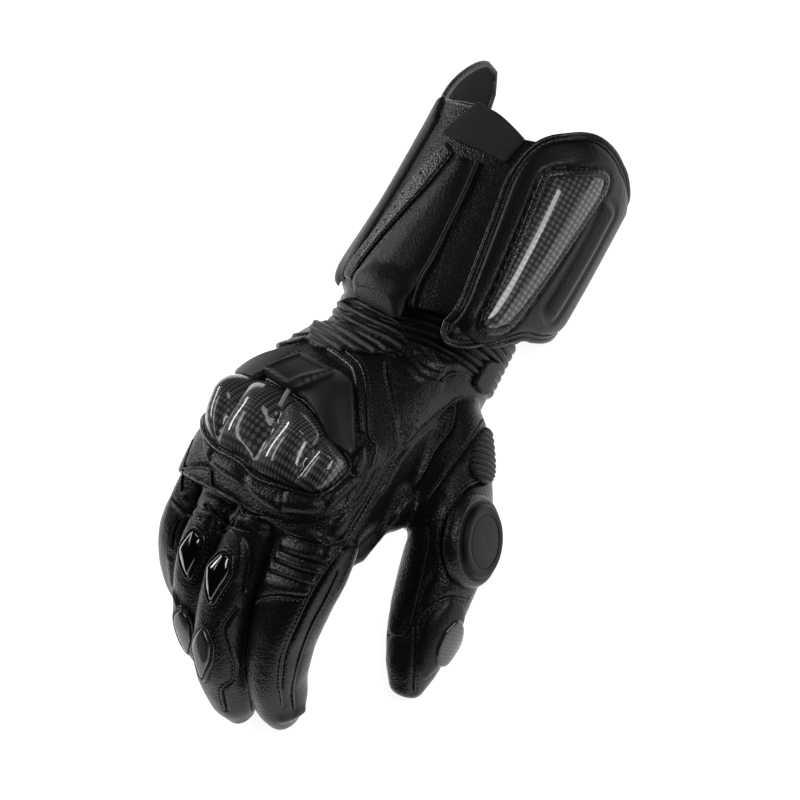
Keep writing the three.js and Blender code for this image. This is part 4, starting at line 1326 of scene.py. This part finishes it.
def plate_lift(s, a, d):
    flap_off, _ = nearest_on(cuff.unrolled(s, a), flap_flat)
    return flap_top(s, a, flap_off)


def plate_top(s, a, d):
    return 0.2 + 1.8 * (1 - np.exp(-d / 1.2)) - 0.9 * ease(d, 3.2, 4.4)


panel("flap_plate_frame", cuff, plate_line, plate_top, edge_leather, corner=4, base=0.2, step=0.7,
      lift=plate_lift, slot="leather", replaces=("flap_plate",), sink=0.6)
lens_line = cuff.seen([(550, 178), (556, 175), (603, 176), (608, 181), (603, 196), (540, 289), (515, 320),
                       (498, 331), (484, 330), (481, 321)], 7)


def lens_height(s, a, d):
    return rim(d, 1.3, 1.4, 0.2) + 0.26 * np.minimum(d, 7) - 0.0125 * np.minimum(d, 7) ** 2


panel("flap_plate_lens", cuff, lens_line, lens_height, plate_weave, corner=3, base=0.8, step=0.7,
      lift=plate_lift, slot="woven_look", sink=0.4)

# Knuckle armour
guard_line = hand.seen([(350, 462), (332, 440), (315, 414), (294, 393), (266, 378), (240, 373), (222, 380),
                        (206, 396), (201, 412), (203, 428), (214, 444), (243, 457), (248, 468), (262, 477),
                        (282, 481), (298, 487),
                        (316, 492), (333, 485), (347, 471)], 4)
DOMES = [
    {"angle": 38, "share": 0.79, "half": 12.4, "high": 5.8},
    {"angle": 13, "share": 0.775, "half": 12.2, "high": 6.6},
    {"angle": -11, "share": 0.765, "half": 12.0, "high": 6.4},
    {"angle": -36, "share": 0.755, "half": 12.4, "high": 7.4},
]


def guard_height(s, a, d):
    domes = np.zeros_like(s)
    for dome in DOMES:
        lean = 30 * (s - dome["share"])
        x, y = (a - dome["angle"] - lean) / dome["half"], (s - dome["share"]) / 0.2
        domes = np.maximum(domes, dome["high"] * np.clip(1 - x * x, 0, 1) ** 0.7 * np.clip(1 - y * y, 0,
                                                                                           1) ** 1.1)
    edge = 1 - np.exp(-d / 2.6)
    return 0.9 + 2.2 * edge + domes * edge


panel("guard_shell", hand, guard_line, guard_height, guard_weave, corner=5, base=0.8, step=0.7,
      slot="woven_look", replaces=("knuckle_guard",), sharp=60)


def shield_lift(s, a, d):
    return 0.8 + 3.4 * ease(a, 46, 10) * ease(s, 0.36, 0.55)


wing_line = hand.seen([(293, 389), (334, 365), (345, 371), (351, 378), (354, 426), (356, 448), (350, 452),
                       (328, 439), (321, 423), (310, 405)], 6, shares=(0.2, 0.9))


def wing_height(s, a, d):
    return rim(d, 1.8, 0.9) + 1.2 * (1 - np.exp(-d / 5))


panel("shield_wing", hand, wing_line, wing_height, shield_plastic, corner=1.2, base=0.8, step=0.6,
      lift=shield_lift, sink=0.6, slot="matte_armour", replaces=("knuckle_shield",), sharp=30)
far_strip_line = hand.seen([(232, 367), (297, 345), (300, 349), (264, 371), (252, 378), (234, 374)], 5,
                           shares=(0.2, 0.9))
panel("shield_wing_far", hand, far_strip_line, plain(1.8, 0.9), shield_plastic, corner=1.2, base=3.6,
      step=0.6, sink=3.0, slot="matte_armour", sharp=30)
scoop_line = hand.seen([(262, 370), (298, 347), (331, 363), (334, 367), (293, 388), (286, 386)], 9,
                       shares=(0.2, 0.9))


def scoop_lift(s, a, d):
    return 3.4 + 4.0 * ease(s, 0.40, 0.62)


def scoop_height(s, a, d):
    return rim(d, 1.8, 0.7) + 0.7 * hill(d, 1.2, 0.8)


panel("scoop_plate", hand, scoop_line, scoop_height, shield_plastic, corner=1.0, base=0.8, step=0.5,
      lift=scoop_lift, sink=3.5, slot="matte_armour", replaces=("knuckle_scoop",), sharp=30)

# The padded leather border under the guard
skirt_line = hand.seen([(202, 428), (200, 444), (207, 464), (222, 478), (242, 486), (250, 498), (268, 510),
                        (290, 513), (312, 514), (334, 508), (356, 490), (370, 462), (366, 440), (354, 452),
                        (348, 472), (334, 487),
                        (317, 494), (298, 489), (262, 480), (246, 470), (240, 458), (216, 448), (207, 432)],
                       3)


skirt_dips = [hand.unrolled(*np.transpose(hand.seen(line, 3)))
              for line in ([(214, 449), (206, 466)], [(247, 470), (240, 488)], [(284, 486), (278, 511)],
                           [(322, 493), (326, 512)], [(352, 474), (366, 484)])]


def skirt_height(s, a, d):
    flat = hand.unrolled(s, a)
    made = 0.8 + 3.4 * (1 - np.exp(-d / 2.0))
    for dip in skirt_dips:
        off, _ = nearest_on(flat, dip, closed=False)
        made = made - 2.2 * np.exp(-((off / 1.5) ** 2)) * (1 - np.exp(-d / 2))
    return made


leather_skirt = panel("knuckle_border", hand, skirt_line, skirt_height, body_leather, corner=3, base=0.3,
                      step=0.7, slot="leather", replaces=("knuckle_skirt",), sink=0.6)

# Wrist ribs
rib_line = hand.seen([(337, 302), (352, 296), (380, 308), (402, 322), (408, 340), (403, 356), (380, 354),
                      (352, 350), (330, 352), (308, 344), (314, 322)], 1, shares=(-0.4, 0.5))
RIB_PITCH = 0.043


def rib_height(s, a, d):
    wave = np.abs(np.sin(math.pi * (s - 0.0017 * (a + 20)) / RIB_PITCH))
    return 0.3 + rim(d, 0.6, 1.5) * (0.2 + 2.6 * wave**0.7)


panel("wrist_ribs", hand, rib_line, rib_height, smooth_leather, corner=4, base=0.3, step=0.5, slot="leather")


BELLOWS_LENGTH, BELLOWS_RIDGES = 25, 7


def bellows_rows():
    """The stretch sleeve between the hand and the gauntlet, outside and inside."""
    outside = np.linspace(0, BELLOWS_LENGTH, 76)
    ridges = 1.5 * np.abs(np.sin(math.pi * BELLOWS_RIDGES * outside / BELLOWS_LENGTH)) ** 0.8
    rows = [(-y / hand_axis.total, -r, 1) for y, r in zip(outside, ridges)]
    rows += [(-y / hand_axis.total, WALL, 1) for y in np.linspace(BELLOWS_LENGTH, 0, 20)]
    rows.append(rows[0])
    return rows


bellows_bm = lathe_rows(hand, bellows_rows(), 180)
store("bellows_sleeve", bellows_bm, smooth_leather, slot="textile", replaces=("wrist_bellows",))

# The strap across the wrist
strap_line = hand.seen([(475, 385), (490, 360), (504, 362), (489, 398)], 3,
                       shares=(-0.4, 0.5))
panel("wrist_strap_band", hand, strap_line, plain(1.6, 1.2), smooth_leather, corner=3, base=1.2, step=0.5,
      slot="leather", replaces=("wrist_strap",), sink=0.8)

# Finger sliders and inserts, each in a soft leather rim
SLIDERS = [
    {"name": "slider_middle_shell", "skin": middle, "node": "slider_middle",
     "line": [(206, 565), (222, 551), (229, 556), (228, 575), (209, 604), (205, 589)]},
    {"name": "slider_ring_shell", "skin": ring, "node": "slider_ring",
     "line": [(178, 548), (193, 528), (201, 540), (199, 557), (187, 579), (181, 567)]},
]
INSERTS = [
    {"name": "insert_middle_shell", "skin": middle, "node": "insert_middle",
     "line": [(193, 644), (202, 626), (211, 645), (210, 661), (202, 680), (195, 657)]},
    {"name": "insert_ring_shell", "skin": ring, "node": "insert_ring",
     "line": [(174, 617), (181, 608), (190, 621), (192, 638), (188, 654)]},
]


def slider_height(s, a, d):
    return 0.6 + 3.0 * (1 - np.exp(-d / 2.2))


rim_cords, rim_stitches = [], []
for row in SLIDERS + INSERTS:
    gloss = row in SLIDERS
    line = row["skin"].seen(row["line"], 2 if gloss else 1, shares=(0.15, 1.0), angles=(-115, 110))
    height = slider_height if gloss else plain(1.4, 1.6)
    panel(row["name"], row["skin"], line, height, slider_plastic if gloss else insert_weave, corner=2,
          step=0.5, slot="gloss_armour" if gloss else "woven_look", replaces=(row["node"],), sharp=50)
    rim_cords.append((inset_run(row["skin"], line, 2, -1.0, lambda s, a, d: 0.5 + 0 * d)[0], 0.95, True))
    rim_stitches.append(inset_run(row["skin"], line, 2, -2.6, lambda s, a, d: 0.15 + 0 * d))
cords("finger_rims", rim_cords, edge_leather, slot="leather", sharp=None)
stitches("finger_rim_stitches", rim_stitches, thread, pitch=2.2, long=1.5, thick=0.32, slot="textile")

# The thumb
tip_line = thumb.seen([(450, 599), (425, 617), (417, 643), (415, 672), (424, 684), (440, 668), (456, 645),
                       (466, 622), (467, 606)], 1.5, shares=(0.4, 1.0))
tip_pad = panel("thumb_tip_cushion", thumb, tip_line, lambda s, a, d: 0.4 + 1.5 * (1 - np.exp(-d / 2.5)),
                smooth_leather, corner=4, step=0.6, base=0.4, slot="leather", replaces=("thumb_tip_pad",))
oval_line = thumb.seen([(438, 668), (436, 652), (444, 632), (460, 618), (465, 627), (461, 645), (447, 667)],
                       3, shares=(0.4, 1.0))
panel("thumb_oval", thumb, oval_line, plain(1.4, 1.6), insert_weave, corner=3, step=0.5, base=2.0, sink=0.6,
      slot="woven_look", replaces=("thumb_insert",))
rib_band = thumb.seen([(474, 440), (486, 425), (497, 430), (501, 470), (493, 484), (478, 482), (469, 464)],
                      1.5, shares=(-0.4, 0.6), angles=(-60, 160))


def thumb_rib_height(s, a, d):
    wave = np.abs(np.sin(math.pi * (s * thumb_axis.total) / 2.9))
    return 0.3 + rim(d, 0.8, 1.2) * (0.3 + 1.7 * wave**0.8)


panel("thumb_ribbing", thumb, rib_band, thumb_rib_height, smooth_leather, corner=4, step=0.45, base=0.3,
      slot="leather", replaces=("thumb_ribs",), sink=0.4)
inner_line = thumb.seen([(428, 524), (428, 550), (419, 590), (409, 632), (389, 633), (392, 592), (399, 556),
                         (408, 536)], 0.5, shares=(-0.1, 1.0))
panel("thumb_inner_mesh", thumb, inner_line, plain(0.35, 1.0), body_leather, corner=3, step=0.6, base=0.3,
      slot="leather", sink=0.4)

disc_place = thumb.seen([(485, 541)], 4, shares=(0.1, 0.9))[0]
disc_centre = thumb.at(np.array([disc_place[0]]), np.array([disc_place[1]]), np.array([0.0]))[0]
disc_out = np.array([0.85, -0.05, 0.52]) @ np.array([RIGHT, UP, BACK])
collar_profile = curved([(0.0, -5.0), (15.0, -5.0), (19.0, -5.5), (19.8, -3.2), (19.2, -1.0), (17.9, 0.7),
                         (16.6, 0.8), (15.6, 0.0), (14.0, -0.2), (0.0, -0.2)], per=5)
thumb_collar = turned("thumb_collar_pad", disc_centre, disc_out, collar_profile, body_leather, slot="leather",
                      replaces=("thumb_collar",))
disc_profile = curved([(0.0, 0.1), (15.2, 0.1), (15.6, 1.2), (15.2, 2.6), (14.2, 3.4), (12.4, 3.5),
                       (11.4, 3.3), (11.0, 2.8), (10.6, 3.3), (5.0, 3.6), (0.0, 3.6)], per=5)
turned("thumb_disc_shell", disc_centre, disc_out, disc_profile, disc_plastic, slot="matte_armour",
       replaces=("thumb_disc",))

# The palm's patch, on the underside
palm_line = [(0.35, 150), (0.8, 140), (0.92, 160), (0.92, 205), (0.75, 222), (0.4, 210)]
panel("palm_patch", hand, palm_line, plain(1.2, 1.0), edge_leather, corner=6, base=0.1, step=1.2,
      slot="leather", sink=0.6)

# Cords, stitches and holes
dressed = Leather([made.data for made in (hand_leather, middle_leather, little_leather, cuff_leather)],
                  1 / MM)
roll_points, _ = dressed.trace([(479, 163), (467, 192), (454, 218), (435, 257), (419, 285), (410, 318)])
cords("seam_roll", [(roll_points + 0.9 * cuff.normal(0.5, 0), 1.5, False)], smooth_leather, sharp=None,
      slot="leather", replaces=("cuff_seam_roll",))
hem_angles = np.arange(-180, 181, 2.0)
hem_points = cuff.flat(hem_share(hem_angles), hem_angles, 1.3)
hem_points[:, 2] = np.maximum(hem_points[:, 2], 1.8)
piping = [(hem_points, 1.8, True)]
for inset, radius in ((0.3, 0.95), (2.3, 0.6)):
    points, _ = inset_run(cuff, flap_line, FLAP_CORNER, inset, lambda s, a, d: flap_top(s, a, d) - 0.3)
    piping.append((points, radius, True))
cords("gauntlet_piping", piping, edge_leather, sharp=None, slot="leather")

BORDER = [(231, 366), (262, 352), (301, 341), (315, 342), (348, 364), (356, 375), (359, 399), (361, 433)]
border_points, border_normals = dressed.trace(BORDER)
outer_points, outer_normals = dressed.trace([(228, 360), (260, 345), (301, 334), (320, 336), (354, 358),
                                             (364, 374), (367, 400), (369, 436), (376, 446), (372, 466)])
guard_rim, _ = inset_run(hand, guard_line, 5, -0.9, lambda s, a, d: 1.6 + 0 * d)
cords("shield_piping", [(border_points + 0.5 * border_normals, 1.5, False), (guard_rim, 1.1, True),
                        (outer_points + 0.1 * outer_normals, 0.8, False)], edge_leather,
      sharp=None, slot="leather")
# The guard's strut: a cord painted pale grey as a painted reflection.
strut_ends = hand.seen([(290, 386), (279, 406)], 7, shares=(0.2, 0.95))
strut_points, _ = open_run(hand, strut_ends, 6.4)
cords("guard_strut", [(strut_points, 1.0, False)], strut_painted_reflection, sharp=None, slot="gloss_armour")

laps = []
for label, (points, normals) in seam_runs.items():
    laps.append((points + 0.6 * across(points, normals) - 0.25 * normals, 0.52, False))
for points, normals in hidden_runs:
    laps.append((points - normals * 0.25, 0.5, False))
cords("lapped_edges", laps, edge_leather, sharp=None, slot="leather")
STITCH_ASIDE = 1.5
stitch_runs = []
for label in STITCHED:
    points, normals = seam_runs[label]
    stitch_runs.append((points + STITCH_ASIDE * across(points, normals), normals))
for aside in (-STITCH_ASIDE, STITCH_ASIDE):
    stitch_runs.append((outer_points + aside * across(outer_points, outer_normals), outer_normals))
stitches("hand_stitches", stitch_runs, thread, pitch=2.2, long=1.6, thick=0.34, slot="textile")
cuff_runs = [
    dressed.trace([(474, 178), (462, 205), (447, 245), (433, 299)]),
    dressed.trace([(475, 105), (520, 140)]),
    dressed.trace([(471, 110), (515, 146)]),
    inset_run(cuff, plate_line, 4, 1.7, lambda s, a, d: plate_lift(s, a, d) + 0.2 + plate_top(s, a, d)),
]
stitches("gauntlet_stitches", cuff_runs, thread, pitch=2.2, long=1.6, thick=0.32, slot="textile")

# Punched holes: near-black dots, painted shade inside the holes.
holes = []
HOLE_FIELDS = [
    {"rows": 7, "columns": 4, "corner": (398, 384), "down": (-0.8, 8.2), "across": (7.6, 1.2)},
    {"rows": 14, "columns": 2, "corner": (470, 190), "down": (-3.6, 8.4), "across": (6, 3)},
]
for field in HOLE_FIELDS:
    corner, down, over = (np.array(field[key], float) for key in ("corner", "down", "across"))
    for i in range(field["rows"]):
        for j in range(field["columns"]):
            found = dressed.hit(corner + i * down + j * over)
            if found:
                holes.append(found)
for vs, va in vent_spots:
    place, way = cuff.at(np.array([vs]), np.array([va]), np.array([1.45])), cuff.normal(np.array([vs]),
                                                                                        np.array([va]))
    holes.append((place[0], way[0]))
dots("punched_holes", holes, hole_painted_shade, radius=0.68, slot="leather")
# The thumb's perforation: near-black dots, painted shade inside the holes.
pricks = []
for i in range(27):
    for j in range(6):
        found = dressed.hit((405 - 0.45 * i + 4.2 * j - 0.1 * i * (j > 3), 528 + 3.9 * i + 2 * (j % 2)))
        if found and found[1] @ BACK > 0.25:
            pricks.append((found[0] + 0.65 * found[1], found[1]))
dots("thumb_perforation", pricks, hole_painted_shade, radius=0.4, slot="leather")

bpy.context.view_layer.update()
world = bpy.data.worlds.new("studio")
bpy.context.scene.world = world
world.use_nodes = True
world.node_tree.nodes["Background"].inputs["Color"].default_value = (1, 1, 1, 1)
world.node_tree.nodes["Background"].inputs["Strength"].default_value = 0.004


def softbox(name, toward, distance, size, power, aim=AIM):
    """A softbox seen from the glove in a direction given along the camera's right, up and back.

    Its length lies along the gauntlet.
    """
    data = bpy.data.lights.new(name, "AREA")
    data.shape = "RECTANGLE"
    data.size, data.size_y = size
    data.energy = power
    lamp = bpy.data.objects.new(name, data)
    bpy.context.scene.collection.objects.link(lamp)
    way = np.array(toward, float) @ np.array([RIGHT, UP, BACK])
    way /= np.linalg.norm(way)
    lamp.location = Vector(aim * MM + way * distance)
    along = np.array([0, 1, 0]) - way[1] * way
    along /= np.linalg.norm(along)
    lamp.rotation_euler = Matrix([np.cross(along, way), along, way]).transposed().to_euler()
    return lamp


def mirrored(skin, pixel, left, down):
    """Where a skin at a pixel, tilted a little to the left and down, would mirror a lamp from."""
    s, a = skin.seen([pixel], 3)[0]
    normal = skin.normal(np.array([s]), np.array([a]))[0]
    normal = normal - left * RIGHT - down * UP
    normal /= np.linalg.norm(normal)
    lamp = 2 * (normal @ BACK) * normal - BACK
    return [lamp @ RIGHT, lamp @ UP, lamp @ BACK], skin.at(np.array([s]), np.array([a]), np.array([3.0]))[0]


plate_way, plate_spot = mirrored(cuff, (529, 250), 0.16, 0.0)
dome_way, dome_spot = mirrored(hand, (262, 432), 0.42, 0.1)
SOFTBOXES = [
    {"name": "plate_strip", "toward": plate_way, "distance": 1.0, "size": (0.24, 0.62), "power": 3.9,
     "aim": plate_spot},
    {"name": "dome_strip", "toward": dome_way, "distance": 0.9, "size": (0.1, 0.6), "power": 2.3,
     "aim": dome_spot},
    {"name": "strip_left", "toward": (-1.0, 0.5, 0.2), "distance": 0.9, "size": (0.12, 0.7), "power": 1.15},
    {"name": "strip_right", "toward": (1.0, 0.5, 0.2), "distance": 1.0, "size": (0.14, 0.8), "power": 0.6},
    {"name": "overhead", "toward": (0.0, 1.0, 0.55), "distance": 1.2, "size": (0.4, 0.14), "power": 0.7},
]
for row in SOFTBOXES:
    softbox(**row)


def make_floor():
    bm = bmesh.new()
    bmesh.ops.create_grid(bm, x_segments=1, y_segments=1, size=4)
    mesh = bpy.data.meshes.new("floor")
    bm.to_mesh(mesh)
    bm.free()
    made, tree, shader = material("floor_paper")
    fine = scaled_noise(tree, place_on(tree, False), 900, 3)
    tree.links.new(shaded(tree, calculate(tree, "ADD", 0.98, calculate(tree, "MULTIPLY", fine, 0.04)),
                          (0.9, 0.9, 0.9)),
                   shader.inputs["Base Color"])
    shader.inputs["Roughness"].default_value = 0.9
    shader.inputs["Specular IOR Level"].default_value = 0.0
    shader.inputs["Emission Color"].default_value = (1, 1, 1, 1)
    shader.inputs["Emission Strength"].default_value = 0.93
    mesh.materials.append(made)
    floor = bpy.data.objects.new("floor", mesh)
    bpy.context.scene.collection.objects.link(floor)
    return floor


make_floor()
bpy.context.scene.view_settings.view_transform = "Standard"
